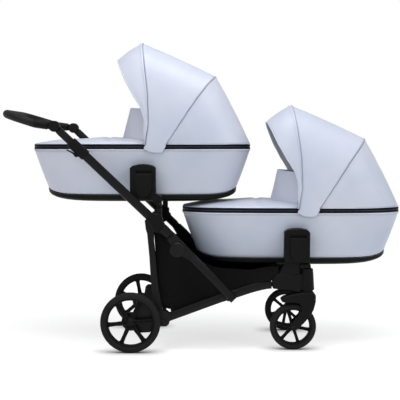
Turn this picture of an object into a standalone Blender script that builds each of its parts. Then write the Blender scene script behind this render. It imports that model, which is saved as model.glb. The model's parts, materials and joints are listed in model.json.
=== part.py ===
"""Tandem pram with two carrycots on one folding frame.

Metres, +Z up, +X to the front of the pram. The origin is on the floor, midway
along the pram's length. Sizes are measured from the rear wheels' axle line,
and the frame's root empty moves that line to its place behind the origin.
"""
import math

import bmesh
import bpy
from mathutils import Matrix, Vector

for old in list(bpy.data.objects):
    bpy.data.objects.remove(old)

# General clearances
GAP = 0.0003
RUNNING_GAP = 0.0005

# Wheels
WHEELBASE = 0.667
REAR_WHEEL_R = 0.123
REAR_TYRE_WIDTH = 0.040
REAR_TYRE_WALL = 0.025
REAR_TRACK_Y = 0.285
REAR_HUB_R = 0.022
REAR_SPOKE_WIDTH = 0.015
FRONT_WHEEL_R = 0.0957
FRONT_TYRE_WIDTH = 0.036
FRONT_TYRE_WALL = 0.0215
FRONT_TRACK_Y = 0.207
FRONT_HUB_R = 0.014
FRONT_SPOKE_WIDTH = 0.0125
SPOKES = 6
RIM_WALL = 0.006
SPOKE_THICK = 0.010
REAR_AXLE_PIN_R = 0.006
FRONT_AXLE_PIN_R = 0.004

# Front fork and swivel
SWIVEL_TRAIL = 0.057
SWIVEL_X = WHEELBASE + SWIVEL_TRAIL
FORK_WALL = 0.010
FORK_TYRE_GAP = 0.0025
FORK_TOP_Z = 0.2385
FORK_ARCH_GAP = 0.0035
COLLAR_R = 0.0245
STEM_R = 0.009
SWIVEL_BASE_Z = 0.248
SWIVEL_TOP_Z = 0.336
SWIVEL_BASE_R = 0.031
SWIVEL_TOP_R = 0.0245
LOCK_STEM_R = 0.004
LOCK_LENGTH = 0.049
LOCK_WIDTH = 0.040
LOCK_HEIGHT = 0.0225
LOCK_TRAVEL = 0.0035

# Frame lanes, outward from the mid-plane
LEG_INNER = 0.222
LEG_THICK = 0.024
LANE_GAP = 0.004
TUBE_THICK = 0.026
COLLAR_WALL = 0.0035
CHEEK = 0.006
ARM_THICK = 0.010

# Fold hub and push tube, measured along the tube from the hub
HUB_X = 0.1905
HUB_Z = 0.4203
TUBE_ANGLE = 136.45
TUBE_OFFSET = 0.0203
TUBE_HEIGHT = 0.0354
TUBE_CORNER = 0.008
TUBE_WALL = 0.0019
TUBE_START = 0.062
TUBE_END = 0.612
TONGUE_R = 0.028
HUB_PIN_R = 0.006
HUB_DISC_R = 0.030
HUB_DISC_RISE = 0.009
HUB_CLEAR_R = 0.060
DIAGONAL_ANGLE = -45.57
DIAGONAL_OFFSET = 0.0207
DIAGONAL_HEIGHT = 0.033
DIAGONAL_START = 0.063
DIAGONAL_END = 0.309
CLAMP_START = 0.532
CLAMP_END = 0.6125
CLAMP_HEIGHT = 0.044
LEVER_AT = 0.560
LEVER_LENGTH = 0.044
TELE_START = 0.455
BORE_END = 0.345
HANDLE_JOINT_AT = 0.705
HANDLE_JOINT_R = 0.0225

# Joint bracket and post
COLLAR_START = 0.106
COLLAR_END = 0.178
POST_FRONT_X = 0.127
POST_REAR_X = 0.104
POST_REAR_Z = 0.597
POST_SLOPE = 30.0

# Rear leg
LEG_FOOT_X = 0.1176
LEG_FOOT_Z = 0.1508
LEG_TOP_X = 0.084
LEG_TOP_Z = 0.536
LEG_PIN_R = 0.005

# Lower tube
LOWER_HEIGHT = 0.035
LOWER_CORNER = 0.007
LOWER_START_X = 0.150
LOWER_END_X = WHEELBASE - 0.089
SPIGOT_LENGTH = 0.022

# Rear axle and suspension
AXLE_TUBE_X = 0.118
AXLE_TUBE_Z = 0.118
AXLE_TUBE_R = 0.010
ARM_PIVOT_X = 0.130
ARM_PIVOT_Z = 0.118
ARM_PIN_R = 0.005

# Front bracket
BLOCK_INNER = FRONT_TRACK_Y - 0.021
BLOCK_THICK = 0.042
BLOCK_REAR_X = LOWER_END_X + 0.0005
BLOCK_TOP_Z = 0.3142
CROSS_TUBE_X = WHEELBASE - 0.027
CROSS_TUBE_Z = 0.283
CROSS_TUBE_R = 0.010
SOCKET_DEPTH = 0.008

# Handle
GRIP_R = 0.017
HANDLE_BAR_X = -0.520
HANDLE_BAR_Z = 0.974
HANDLE_SEAM_X = -0.386
HANDLE_SEAM_Z = 0.932
HANDLE_BEND_R = 0.110

# Brake pedal
PEDAL_HALF = 0.028
PEDAL_WALL = 0.0035

# Basket
BASKET_WALL = 0.0035
BASKET_REAR_X = 0.1145
BASKET_FRONT_X = BLOCK_REAR_X - 0.0012

# Cots, measured on the upper one
COT_X = 0.032
COT_HALF_LENGTH = 0.4625
COT_HALF_WIDTH = 0.200
COT_BASE_HALF_LENGTH = 0.403
COT_BASE_HALF_WIDTH = 0.1655
COT_CORNER = 3.2
COT_WALL = 0.010
RIM_BOTTOM_Z = 0.832
RIM_HEIGHT = 0.016
RIM_WIDTH = 0.013
TRAY_TOP_Z = 0.636
TRAY_END_RISE = 0.026
TRAY_DEPTH = 0.026
TRAY_WALL = 0.004
MATTRESS_THICK = 0.038
MATTRESS_GAP = 0.004
APRON_THICK = 0.005
APRON_DOME = 0.024
APRON_FRONT_X = -0.052
FLAP_TOP_Z = 1.003
FLAP_LEAN = 0.037
FLAP_WRAP = 0.080
FLAP_HALF_WIDTH = 0.170
COT_STEP_X = WHEELBASE - 0.033
COT_DROP = 0.2635

# Hoods
HOOD_PIVOT_X = 0.091
HOOD_PIVOT_Z = 0.837
HOOD_HALF_WIDTH = 0.2065
HOOD_CLOTH = 0.003
HOOD_ARCH = 2.8
FRONT_BOW_ANGLE = 95.5
FRONT_BOW_LENGTH = 0.442
FRONT_BOW_LEAN = 4.0
MID_BOW_ANGLE = 49.3
MID_BOW_LENGTH = 0.393
BACK_ANGLE = 0.6
BACK_LENGTH = 0.4035
VISOR_ANGLE = 113.4
VISOR_LENGTH = 0.403
VISOR_LEAN = -4.5
VISOR_THICK = 0.0055
BOW_STRAP = 0.0025
BOW_WIDTH = 0.010
BOW_GAP = 0.0025
BOW_START_R = 0.075
TAB_INNER = 0.2003
TAB_OUTER = 0.2095
CLOTH_START_R = 0.0625

# Adaptors
ADAPTOR_REAR_X = -0.0045
ADAPTOR_FRONT_X = 0.100
ADAPTOR_BOTTOM_Z = 0.6245
ADAPTOR_TOP_Z = 0.767
ADAPTOR_OUTER = 0.236
SHIELD_RISE = 0.0075
NECK_INNER = FRONT_TRACK_Y - 0.015
NECK_OUTER = FRONT_TRACK_Y + 0.019
LOWER_ADAPTOR_OUTER = FRONT_TRACK_Y + 0.029

# Places that follow from the sizes
TUBE_INNER = LEG_INNER + LEG_THICK + LANE_GAP
TUBE_OUTER = TUBE_INNER + TUBE_THICK
TUBE_MID = TUBE_INNER + TUBE_THICK / 2
COLLAR_INNER = TUBE_INNER - COLLAR_WALL
COLLAR_OUTER = TUBE_OUTER + COLLAR_WALL
CHEEK_OUTER = LEG_INNER + LEG_THICK + RUNNING_GAP
ARM_INNER = CHEEK_OUTER + CHEEK
ARM_OUTER = ARM_INNER + ARM_THICK
RIM_TOP_Z = RIM_BOTTOM_Z + RIM_HEIGHT
BLOCK_OUTER = BLOCK_INNER + BLOCK_THICK
HANDLE_REAR_X = HANDLE_BAR_X - GRIP_R
COT_FRONT_X = COT_X + COT_HALF_LENGTH + COT_STEP_X
CENTRE_X = (HANDLE_REAR_X + COT_FRONT_X) / 2
TUBE_DIRECTION = Vector((math.cos(math.radians(TUBE_ANGLE)), math.sin(math.radians(TUBE_ANGLE))))
TUBE_SIDE = Vector((TUBE_DIRECTION.y, -TUBE_DIRECTION.x))
HUB = Vector((HUB_X, HUB_Z))
LEG_FOOT = Vector((LEG_FOOT_X, LEG_FOOT_Z))
LEG_TOP = Vector((LEG_TOP_X, LEG_TOP_Z))
WHEEL_STEPS = 32

parts = bpy.data.collections.new("tandem_pram")
cutters = bpy.data.collections.new("cutters")
for group in (parts, cutters):
    bpy.context.scene.collection.children.link(group)


def material(name, colour, roughness, metallic=0.0):
    made = bpy.data.materials.new(name)
    made.use_nodes = True
    shader = made.node_tree.nodes["Principled BSDF"]
    shader.inputs["Base Color"].default_value = (*colour, 1.0)
    shader.inputs["Roughness"].default_value = roughness
    shader.inputs["Metallic"].default_value = metallic
    made.diffuse_color = (*colour, 1.0)
    return made


TYRE = material("tyre_rubber", (0.018, 0.018, 0.018), 0.75)
PLASTIC = material("black_plastic", (0.022, 0.022, 0.023), 0.45)
FRAME = material("matt_black_tube", (0.025, 0.025, 0.027), 0.42, 0.35)
GRIP = material("black_grip", (0.018, 0.018, 0.019), 0.6)
BASKET_CLOTH = material("black_cloth", (0.014, 0.014, 0.015), 0.9)
PEARL = material("pearl_cloth", (0.56, 0.60, 0.74), 0.38)
ZIP_BAND = material("navy_band", (0.012, 0.014, 0.030), 0.5)
LINING = material("pale_lining", (0.72, 0.73, 0.75), 0.85)


def link(name, data, group=parts):
    made = bpy.data.objects.new(name, data)
    group.objects.link(made)
    return made


def evaluated_mesh(item):
    graph = bpy.context.evaluated_depsgraph_get()
    return bpy.data.meshes.new_from_object(item.evaluated_get(graph))


def closed_mesh(name, built, weld=0.00001):
    """A new object from a bmesh, its seams welded and its faces turned outward"""
    bmesh.ops.remove_doubles(built, verts=built.verts, dist=weld)
    bmesh.ops.recalc_face_normals(built, faces=built.faces)
    mesh = bpy.data.meshes.new(name)
    built.to_mesh(mesh)
    built.free()
    return link(name, mesh)


def meshed(item):
    """The same shape as a mesh in world space, with its caps welded on"""
    name = item.name
    bpy.context.view_layer.update()
    mesh = evaluated_mesh(item)
    mesh.transform(item.matrix_world)
    built = bmesh.new()
    built.from_mesh(mesh)
    bpy.data.meshes.remove(mesh)
    bpy.data.objects.remove(item)
    return closed_mesh(name, built)


def combine(target, other, operation):
    other.hide_render = True
    other.display_type = "WIRE"
    parts.objects.unlink(other)
    cutters.objects.link(other)
    modifier = target.modifiers.new(operation.title(), "BOOLEAN")
    modifier.operation = operation
    modifier.object = other
    mesh = evaluated_mesh(target)
    target.modifiers.clear()
    target.data = mesh
    bpy.data.objects.remove(other)
    return target


def join(target, *others):
    for other in others:
        combine(target, other, "UNION")
    return target


def cut(target, *others):
    for other in others:
        combine(target, other, "DIFFERENCE")
    return target


def arc(centre, radius, start, end, steps):
    """Points on an arc, with its angles in degrees"""
    angles = [math.radians(start + (end - start) * i / steps) for i in range(steps + 1)]
    return [(centre[0] + radius * math.cos(a), centre[1] + radius * math.sin(a)) for a in angles]


def disc(centre, radius, steps=16):
    return arc(centre, radius, 0, 360 * (steps - 1) / steps, steps - 1)


def rounded(corners, radius, steps=2):
    """A closed outline with its corners rounded, each radius limited by its sides"""
    count = len(corners)
    radii = radius if isinstance(radius, (list, tuple)) else [radius] * count
    made = []
    for i, corner in enumerate(corners):
        here = Vector(corner)
        back = Vector(corners[i - 1]) - here
        ahead = Vector(corners[(i + 1) % count]) - here
        half = back.angle(ahead) / 2
        if radii[i] <= 0 or half > math.radians(88):
            made.append(tuple(here))
            continue
        reach = min(radii[i] / math.tan(half), 0.45 * back.length, 0.45 * ahead.length)
        size = reach * math.tan(half)
        middle = here + (back.normalized() + ahead.normalized()).normalized() * (size / math.sin(half))
        first = here + back.normalized() * reach - middle
        last = here + ahead.normalized() * reach - middle
        turn = math.pi - 2 * half
        for k in range(steps + 1):
            share = k / steps
            spoke = first * math.sin((1 - share) * turn) + last * math.sin(share * turn)
            made.append(tuple(middle + spoke / math.sin(turn)))
    return made


def flat_curve(name, loops, thickness):
    curve = bpy.data.curves.new(name, "CURVE")
    curve.dimensions = "2D"
    curve.fill_mode = "BOTH"
    curve.extrude = thickness / 2
    for loop in loops:
        spline = curve.splines.new("POLY")
        spline.points.add(len(loop) - 1)
        for point, (x, y) in zip(spline.points, loop):
            point.co = (x, y, 0.0, 1.0)
        spline.use_cyclic_u = True
    return link(name, curve)


def prism(name, outline, inner, outer, holes=(), bevel=0.0):
    """A plate on the near side of the pram, its outline drawn in the XZ plane"""
    made = flat_curve(name, (outline, *holes), outer - inner)
    turn = Matrix.Rotation(math.radians(90), 4, "X")
    made.matrix_world = Matrix.Translation((0, -(inner + outer) / 2, 0)) @ turn
    made = meshed(made)
    return softened(made, bevel) if bevel else made


def softened(item, width, segments=1, angle=50):
    """Flat faces joined up and the sharp edges bevelled"""
    built = bmesh.new()
    built.from_mesh(item.data)
    bmesh.ops.dissolve_limit(built, angle_limit=math.radians(1), verts=built.verts, edges=built.edges)
    built.to_mesh(item.data)
    built.free()
    bevel = item.modifiers.new("Bevel", "BEVEL")
    bevel.width = width
    bevel.segments = segments
    bevel.limit_method = "ANGLE"
    bevel.angle_limit = math.radians(angle)
    item.data = evaluated_mesh(item)
    item.modifiers.clear()
    return item


def box_section(width, height, corner, steps=2):
    half_w = width / 2
    half_h = height / 2
    corners = [(-half_w, -half_h), (half_w, -half_h), (half_w, half_h), (-half_w, half_h)]
    return rounded(corners, corner, steps)


def bar(name, start, end, inner, outer, height, corner, steps=2):
    """A straight tube with a rounded section, from start to end in the XZ plane"""
    start = Vector(start)
    end = Vector(end)
    along = (end - start).normalized()
    section = box_section(outer - inner, height, corner, steps)
    made = flat_curve(name, (section,), (end - start).length)
    middle = (start + end) / 2
    columns = Matrix(((0, -along.y, along.x), (1, 0, 0), (0, along.x, along.y)))
    made.matrix_world = Matrix.Translation((middle.x, -(inner + outer) / 2, middle.y)) @ columns.to_4x4()
    return meshed(made)


def cylinder(name, start, end, radius, steps=16):
    start = Vector(start)
    end = Vector(end)
    built = bmesh.new()
    bmesh.ops.create_cone(built, cap_ends=True, segments=steps, radius1=radius, radius2=radius,
                          depth=(end - start).length)
    turn = (end - start).to_track_quat("Z", "Y").to_matrix().to_4x4()
    bmesh.ops.transform(built, matrix=Matrix.Translation((start + end) / 2) @ turn, verts=built.verts)
    return closed_mesh(name, built)


def pin(name, centre, radius, inner, outer, steps=16):
    """A round pin across the pram on its near side"""
    return cylinder(name, (centre[0], -inner, centre[1]), (centre[0], -outer, centre[1]), radius, steps)


def box(name, low, high):
    built = bmesh.new()
    bmesh.ops.create_cube(built, size=1.0)
    low = Vector(low)
    high = Vector(high)
    size = Matrix.Diagonal((*(high - low), 1.0))
    bmesh.ops.transform(built, matrix=Matrix.Translation((low + high) / 2) @ size, verts=built.verts)
    return closed_mesh(name, built)


def turned(name, profile, steps, place=Matrix(), ring=False):
    """A profile of (radius, height) points turned about local Z"""
    mesh = bpy.data.meshes.new(name)
    edges = [(i, i + 1) for i in range(len(profile) - 1)]
    if ring:
        edges.append((len(profile) - 1, 0))
    mesh.from_pydata([(r, 0, h) for r, h in profile], edges, [])
    made = link(name, mesh)
    screw = made.modifiers.new("Screw", "SCREW")
    screw.steps = steps
    screw.render_steps = steps
    screw.use_merge_vertices = True
    screw.merge_threshold = 0.00001
    made.matrix_world = place
    return meshed(made)


def bend(corners, radius, steps=6):
    """An open path through 3D corners, with each inner corner rounded"""
    made = [Vector(corners[0])]
    for before, corner, after in zip(corners, corners[1:], corners[2:]):
        here = Vector(corner)
        back = (Vector(before) - here).normalized()
        ahead = (Vector(after) - here).normalized()
        half = back.angle(ahead) / 2
        reach = radius / math.tan(half)
        middle = here + (back + ahead).normalized() * (radius / math.sin(half))
        first = here + back * reach - middle
        last = here + ahead * reach - middle
        turn = math.pi - 2 * half
        for k in range(steps + 1):
            share = k / steps
            spoke = first * math.sin((1 - share) * turn) + last * math.sin(share * turn)
            made.append(middle + spoke / math.sin(turn))
    made.append(Vector(corners[-1]))
    return made


def tube(name, points, radius, resolution=2):
    curve = bpy.data.curves.new(name, "CURVE")
    curve.dimensions = "3D"
    curve.bevel_depth = radius
    curve.bevel_resolution = resolution
    curve.use_fill_caps = True
    spline = curve.splines.new("POLY")
    spline.points.add(len(points) - 1)
    for point, place in zip(spline.points, points):
        point.co = (*place, 1.0)
    return meshed(link(name, curve))


def on_tube(along, side):
    """A point given along the push tube from the hub, and to its upper side"""
    return tuple(HUB + TUBE_DIRECTION * along + TUBE_SIDE * side)


DIAGONAL_DIRECTION = Vector((math.cos(math.radians(DIAGONAL_ANGLE)),
                             math.sin(math.radians(DIAGONAL_ANGLE))))
DIAGONAL_SIDE = Vector((-DIAGONAL_DIRECTION.y, DIAGONAL_DIRECTION.x))


def on_diagonal(along, side):
    return tuple(HUB + DIAGONAL_DIRECTION * along + DIAGONAL_SIDE * side)


HANDLE_JOINT = Vector(on_tube(HANDLE_JOINT_AT, TUBE_OFFSET))


def mirrored(item, name):
    mesh = item.data.copy()
    mesh.transform(Matrix.Scale(-1, 4, (0, 1, 0)))
    mesh.flip_normals()
    return link(name, mesh)


def merged(item):
    """Coplanar faces joined, so a Boolean leaves no spare edges"""
    built = bmesh.new()
    built.from_mesh(item.data)
    bmesh.ops.dissolve_limit(built, angle_limit=math.radians(0.3), verts=built.verts, edges=built.edges)
    built.to_mesh(item.data)
    built.free()
    return item


def coat(item, look, angle=38):
    merged(item)
    item.data.materials.clear()
    item.data.materials.append(look)
    item.data.shade_smooth()
    item.data.set_sharp_from_angle(angle=math.radians(angle))
    return item


# Wheels. Each pair shares its meshes: axle along Y, outer side at -Y, and one
# facet of the tread turned flat to the floor.

def spoke_gap(angle, inner_r, outer_r, inner_half, outer_half):
    step = 360 / SPOKES
    inner_turn = math.degrees(math.asin(inner_half / inner_r))
    outer_turn = math.degrees(math.asin(outer_half / outer_r))
    outer_arc = arc((0, 0), outer_r, angle + outer_turn, angle + step - outer_turn, 4)
    inner_arc = arc((0, 0), inner_r, angle + step - inner_turn, angle + inner_turn, 1)
    radii = [0.004] + [0] * 3 + [0.004] + [0] * 2
    return rounded(outer_arc + inner_arc, radii, 1)


def wheel(kind, radius, width, wall, hub_r, spoke_width, first_spoke, hub_profile):
    true = 1 / math.cos(math.pi / WHEEL_STEPS)
    bead_r = radius - wall
    across = Matrix.Rotation(math.radians(90), 4, "X")
    place = across @ Matrix.Rotation(math.pi / WHEEL_STEPS, 4, "Z")
    half = width / 2
    tread = [(bead_r, 0.38), (bead_r + 0.35 * wall, 0.5), (radius - 0.22 * wall, 0.42), (radius, 0.17)]
    loop = [(r * true, s * width) for r, s in tread]
    loop += [(r * true, -s * width) for r, s in reversed(tread)]
    tyre = turned("tyre_" + kind + "_right", loop, WHEEL_STEPS, place, ring=True)
    rim_outer = (bead_r - GAP) * true
    rim_inner = (bead_r - GAP - RIM_WALL) * true
    web_half = SPOKE_THICK / 2
    web_hole = 0.6 * hub_r
    channel = [(rim_outer, 0.36 * width), (rim_outer, -0.36 * width), (rim_inner, -0.30 * width),
               (rim_inner, -web_half), (web_hole, -web_half), (web_hole, web_half), (rim_inner, web_half),
               (rim_inner, 0.30 * width)]
    rim = turned("rim_" + kind + "_right", channel, WHEEL_STEPS, place, ring=True)
    window_r = bead_r - GAP - RIM_WALL - 0.002
    turns = [first_spoke + 360 * i / SPOKES for i in range(SPOKES)]
    gaps = [spoke_gap(a, hub_r + 0.008, window_r, spoke_width / 2, spoke_width / 2) for a in turns]
    for gap in gaps:
        cut(rim, prism("window", gap, -SPOKE_THICK, SPOKE_THICK))
    hub = turned("hub", hub_profile(half), 14, across)
    join(rim, hub)
    return coat(tyre, TYRE), coat(rim, PLASTIC)


def rear_hub(half):
    return [(0, half + 0.001), (0.009, half + 0.001), (0.012, half - 0.002), (0.0125, half - 0.007),
            (REAR_HUB_R, 0.008), (REAR_HUB_R, -half), (REAR_AXLE_PIN_R + GAP, -half),
            (REAR_AXLE_PIN_R + GAP, half - 0.004), (0, half - 0.004)]


def front_hub(half):
    end = half + FORK_TYRE_GAP - RUNNING_GAP
    return [(FRONT_AXLE_PIN_R + GAP, end), (FRONT_HUB_R - 0.003, end), (FRONT_HUB_R, 0.008),
            (FRONT_HUB_R, -0.008), (FRONT_HUB_R - 0.003, -end), (FRONT_AXLE_PIN_R + GAP, -end)]


def front_hub_ring(half):
    return front_hub(half) + [front_hub(half)[0]]


tyre_rear_right, rim_rear_right = wheel("rear", REAR_WHEEL_R, REAR_TYRE_WIDTH, REAR_TYRE_WALL,
                                        REAR_HUB_R, REAR_SPOKE_WIDTH, 6, rear_hub)
tyre_front_right, rim_front_right = wheel("front", FRONT_WHEEL_R, FRONT_TYRE_WIDTH, FRONT_TYRE_WALL,
                                          FRONT_HUB_R, FRONT_SPOKE_WIDTH, 48, front_hub_ring)

# Front fork: one outline across both legs, slotted for the wheel, with the
# arch behind the tyre, the swivel stem and the axle pin.
FRONT_AXLE = (WHEELBASE, FRONT_WHEEL_R)
fork_inner = FRONT_TRACK_Y - FRONT_TYRE_WIDTH / 2 - FORK_TYRE_GAP
fork_outer = FRONT_TRACK_Y + FRONT_TYRE_WIDTH / 2 + FORK_TYRE_GAP
axle_to_top = FORK_TOP_Z - FRONT_WHEEL_R
fork_outline = [(WHEELBASE - 0.053, 0.2095), (WHEELBASE - 0.038, 0.2205), (WHEELBASE - 0.002, 0.2320),
                (WHEELBASE + 0.030, FRONT_WHEEL_R + axle_to_top),
                (WHEELBASE + 0.085, FRONT_WHEEL_R + axle_to_top),
                (WHEELBASE + 0.092, 0.228), (WHEELBASE + 0.092, 0.203), (WHEELBASE + 0.084, 0.170),
                (WHEELBASE + 0.070, 0.1435), (WHEELBASE + 0.046, 0.1155), (WHEELBASE + 0.016, 0.0860),
                (WHEELBASE - 0.004, 0.0810), (WHEELBASE - 0.014, 0.0935), (WHEELBASE - 0.010, 0.1095),
                (WHEELBASE + 0.003, 0.1250), (WHEELBASE + 0.022, 0.1440), (WHEELBASE + 0.033, 0.1625),
                (WHEELBASE + 0.033, 0.1805), (WHEELBASE + 0.026, 0.1925), (WHEELBASE + 0.012, 0.1975),
                (WHEELBASE - 0.024, 0.1970), (WHEELBASE - 0.044, 0.1995)]
fork_right = prism("fork_right", fork_outline, fork_inner - FORK_WALL, fork_outer + FORK_WALL, bevel=0.003)
tyre_slot = pin("slot", FRONT_AXLE, FRONT_WHEEL_R + FORK_ARCH_GAP, fork_inner, fork_outer, 32)
stem = turned("stem", [(0, SWIVEL_TOP_Z - 0.010), (STEM_R, SWIVEL_TOP_Z - 0.010),
                       (STEM_R, FORK_TOP_Z + 0.009),
                       (COLLAR_R, FORK_TOP_Z + 0.009), (COLLAR_R + 0.001, FORK_TOP_Z - 0.004),
                       (0, FORK_TOP_Z - 0.004)], 20, Matrix.Translation((SWIVEL_X, -FRONT_TRACK_Y, 0)))
axle = pin("axle", FRONT_AXLE, FRONT_AXLE_PIN_R, fork_inner - FORK_WALL / 2, fork_outer + FORK_WALL / 2, 12)
cut(fork_right, tyre_slot)
join(fork_right, stem, axle)
coat(fork_right, PLASTIC)

# Lower tube: straight from the rear, then levelling and drawing in towards
# the front bracket, which takes its spigot.
LOWER_LEG_MID = LEG_INNER + LEG_THICK / 2
LOWER_BEND_X = WHEELBASE - 0.242
LOWER_BEND_RUN = 0.135
LOWER_PATH = [(0.118, 0.1245), (WHEELBASE - 0.3026, 0.2158), (WHEELBASE - 0.1805, 0.2535),
              (WHEELBASE - 0.107, 0.2695), (WHEELBASE - 0.007, 0.2735)]


def lower_height(x):
    """Height of the lower tube's centre line"""
    spans = list(zip(LOWER_PATH, LOWER_PATH[1:]))
    slopes = [(b[1] - a[1]) / (b[0] - a[0]) for a, b in spans]
    height = LOWER_PATH[0][1] + slopes[0] * (x - LOWER_PATH[0][0])
    for (corner, _), before, after in zip(spans[1:], slopes, slopes[1:]):
        blend = 0.020
        over = x - corner[0]
        ease = 0.0 if over < -blend else over if over > blend else (over + blend) ** 2 / (4 * blend)
        height += (after - before) * ease
    return height


def lower_side(x):
    """Distance of its centre line from the pram's mid-plane"""
    share = min(max((x - LOWER_BEND_X) / LOWER_BEND_RUN, 0.0), 1.0)
    return LOWER_LEG_MID + (FRONT_TRACK_Y - LOWER_LEG_MID) * share * share * (3 - 2 * share)


def swept(name, stations, width, height, corner, grow=0.0):
    """A rounded section lofted along the lower tube's path"""
    section = box_section(width + 2 * grow, height + 2 * grow, corner, 2)
    built = bmesh.new()
    rings = []
    for x in stations:
        slope = math.atan((lower_height(x + 0.002) - lower_height(x - 0.002)) / 0.004)
        ring = []
        for side, up in section:
            ring.append(built.verts.new((x - up * math.sin(slope), -lower_side(x) - side,
                                         lower_height(x) + up * math.cos(slope))))
        rings.append(ring)
    for first, second in zip(rings, rings[1:]):
        for i, vertex in enumerate(first):
            built.faces.new((first[i - 1], vertex, second[i], second[i - 1]))
    built.faces.new(rings[0])
    built.faces.new(rings[-1])
    return closed_mesh(name, built)


bend_start = LOWER_BEND_X - 0.015
bend_steps = 8
bend_stations = [bend_start + (LOWER_END_X - GAP - bend_start) * i / bend_steps for i in range(bend_steps + 1)]
rear_stations = [LOWER_START_X] + [LOWER_PATH[1][0] + step for step in (-0.020, 0.0, 0.020)]
lower_tube_right = swept("lower_tube_right", rear_stations + bend_stations, LEG_THICK, LOWER_HEIGHT,
                         LOWER_CORNER)
spigot_ends = [LOWER_END_X - 0.010, LOWER_END_X + SPIGOT_LENGTH]
SPIGOT_WIDTH = 0.014
SPIGOT_HEIGHT = 0.018
join(lower_tube_right, swept("spigot", spigot_ends, SPIGOT_WIDTH, SPIGOT_HEIGHT, 0.003))
coat(lower_tube_right, FRAME)

# Front bracket: a block on the lower tube's end and the flared swivel housing.
block_outline = [(BLOCK_REAR_X, 0.2905), (BLOCK_REAR_X + 0.004, 0.2545), (WHEELBASE - 0.017, 0.2475),
                 (SWIVEL_X - 0.040, 0.2395), (SWIVEL_X - 0.0265, 0.2395), (SWIVEL_X - 0.0265, 0.2500),
                 (SWIVEL_X - 0.018, 0.2500), (SWIVEL_X - 0.018, BLOCK_TOP_Z),
                 (BLOCK_REAR_X + 0.025, BLOCK_TOP_Z)]
block_corners = [0.004, 0.004, 0.004, 0.003, 0.003, 0, 0, 0, 0.004]
front_bracket_right = prism("front_bracket_right", rounded(block_outline, block_corners, 1), BLOCK_INNER,
                            BLOCK_OUTER,
                            bevel=0.003)
housing_place = Matrix.Translation((SWIVEL_X, -FRONT_TRACK_Y, 0))
housing_profile = [(0, SWIVEL_TOP_Z), (SWIVEL_TOP_R, SWIVEL_TOP_Z),
                   (SWIVEL_TOP_R + 0.001, SWIVEL_TOP_Z - 0.008),
                   (SWIVEL_TOP_R + 0.002, SWIVEL_TOP_Z - 0.018),
                   (SWIVEL_BASE_R - 0.001, SWIVEL_BASE_Z + 0.012),
                   (SWIVEL_BASE_R, SWIVEL_BASE_Z + 0.003), (SWIVEL_BASE_R - 0.002, SWIVEL_BASE_Z),
                   (0, SWIVEL_BASE_Z)]
housing = turned("housing", housing_profile, 20, housing_place)
join(front_bracket_right, housing)
stem_bore = cylinder("bore", (SWIVEL_X, -FRONT_TRACK_Y, SWIVEL_BASE_Z - 0.02),
                     (SWIVEL_X, -FRONT_TRACK_Y, SWIVEL_TOP_Z - 0.010 + RUNNING_GAP), STEM_R + GAP)
lock_bore = cylinder("bore", (SWIVEL_X, -FRONT_TRACK_Y, SWIVEL_TOP_Z - 0.012),
                     (SWIVEL_X, -FRONT_TRACK_Y, SWIVEL_TOP_Z + 0.010), LOCK_STEM_R + GAP, 12)
spigot_socket = swept("socket", [LOWER_END_X - 0.010, LOWER_END_X + SPIGOT_LENGTH + 0.001],
                      SPIGOT_WIDTH, SPIGOT_HEIGHT, 0.003, grow=GAP)
cross_socket = pin("socket", (CROSS_TUBE_X, CROSS_TUBE_Z), CROSS_TUBE_R + GAP, BLOCK_INNER - 0.01,
                   BLOCK_INNER + SOCKET_DEPTH + GAP)
NECK_SPIGOT = (WHEELBASE - 0.035, WHEELBASE + 0.001)
SPIGOT_INNER = FRONT_TRACK_Y - 0.006
SPIGOT_OUTER = FRONT_TRACK_Y + 0.010
SPIGOT_FOOT_Z = 0.3010
neck_socket = box("socket", (NECK_SPIGOT[0] - GAP, -SPIGOT_OUTER - GAP, SPIGOT_FOOT_Z - 0.001),
                  (NECK_SPIGOT[1] + GAP, -SPIGOT_INNER + GAP, BLOCK_TOP_Z + 0.015))
cut(front_bracket_right, stem_bore, lock_bore, spigot_socket, cross_socket, neck_socket)
coat(front_bracket_right, PLASTIC)

front_cross_tube = cylinder("front_cross_tube", (CROSS_TUBE_X, -BLOCK_INNER - SOCKET_DEPTH, CROSS_TUBE_Z),
                            (CROSS_TUBE_X, BLOCK_INNER + SOCKET_DEPTH, CROSS_TUBE_Z), CROSS_TUBE_R)
coat(front_cross_tube, FRAME)

# Swivel lock: a cap on the housing with a stem in its bore.
lock_x = SWIVEL_X - 0.0085
lock_outline = rounded([(lock_x - LOCK_LENGTH / 2, SWIVEL_TOP_Z + GAP),
                        (lock_x + LOCK_LENGTH / 2, SWIVEL_TOP_Z + GAP),
                        (lock_x + LOCK_LENGTH / 2 - 0.003, SWIVEL_TOP_Z + LOCK_HEIGHT),
                        (lock_x - LOCK_LENGTH / 2 + 0.003, SWIVEL_TOP_Z + LOCK_HEIGHT)], [0, 0, 0.005, 0.005])
swivel_lock_right = prism("swivel_lock_right", lock_outline, FRONT_TRACK_Y - LOCK_WIDTH / 2,
                          FRONT_TRACK_Y + LOCK_WIDTH / 2, bevel=0.004)
join(swivel_lock_right, cylinder("stem", (SWIVEL_X, -FRONT_TRACK_Y, SWIVEL_TOP_Z - 0.009),
                                 (SWIVEL_X, -FRONT_TRACK_Y, SWIVEL_TOP_Z + 0.006), LOCK_STEM_R, 12))
coat(swivel_lock_right, PLASTIC)

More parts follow.
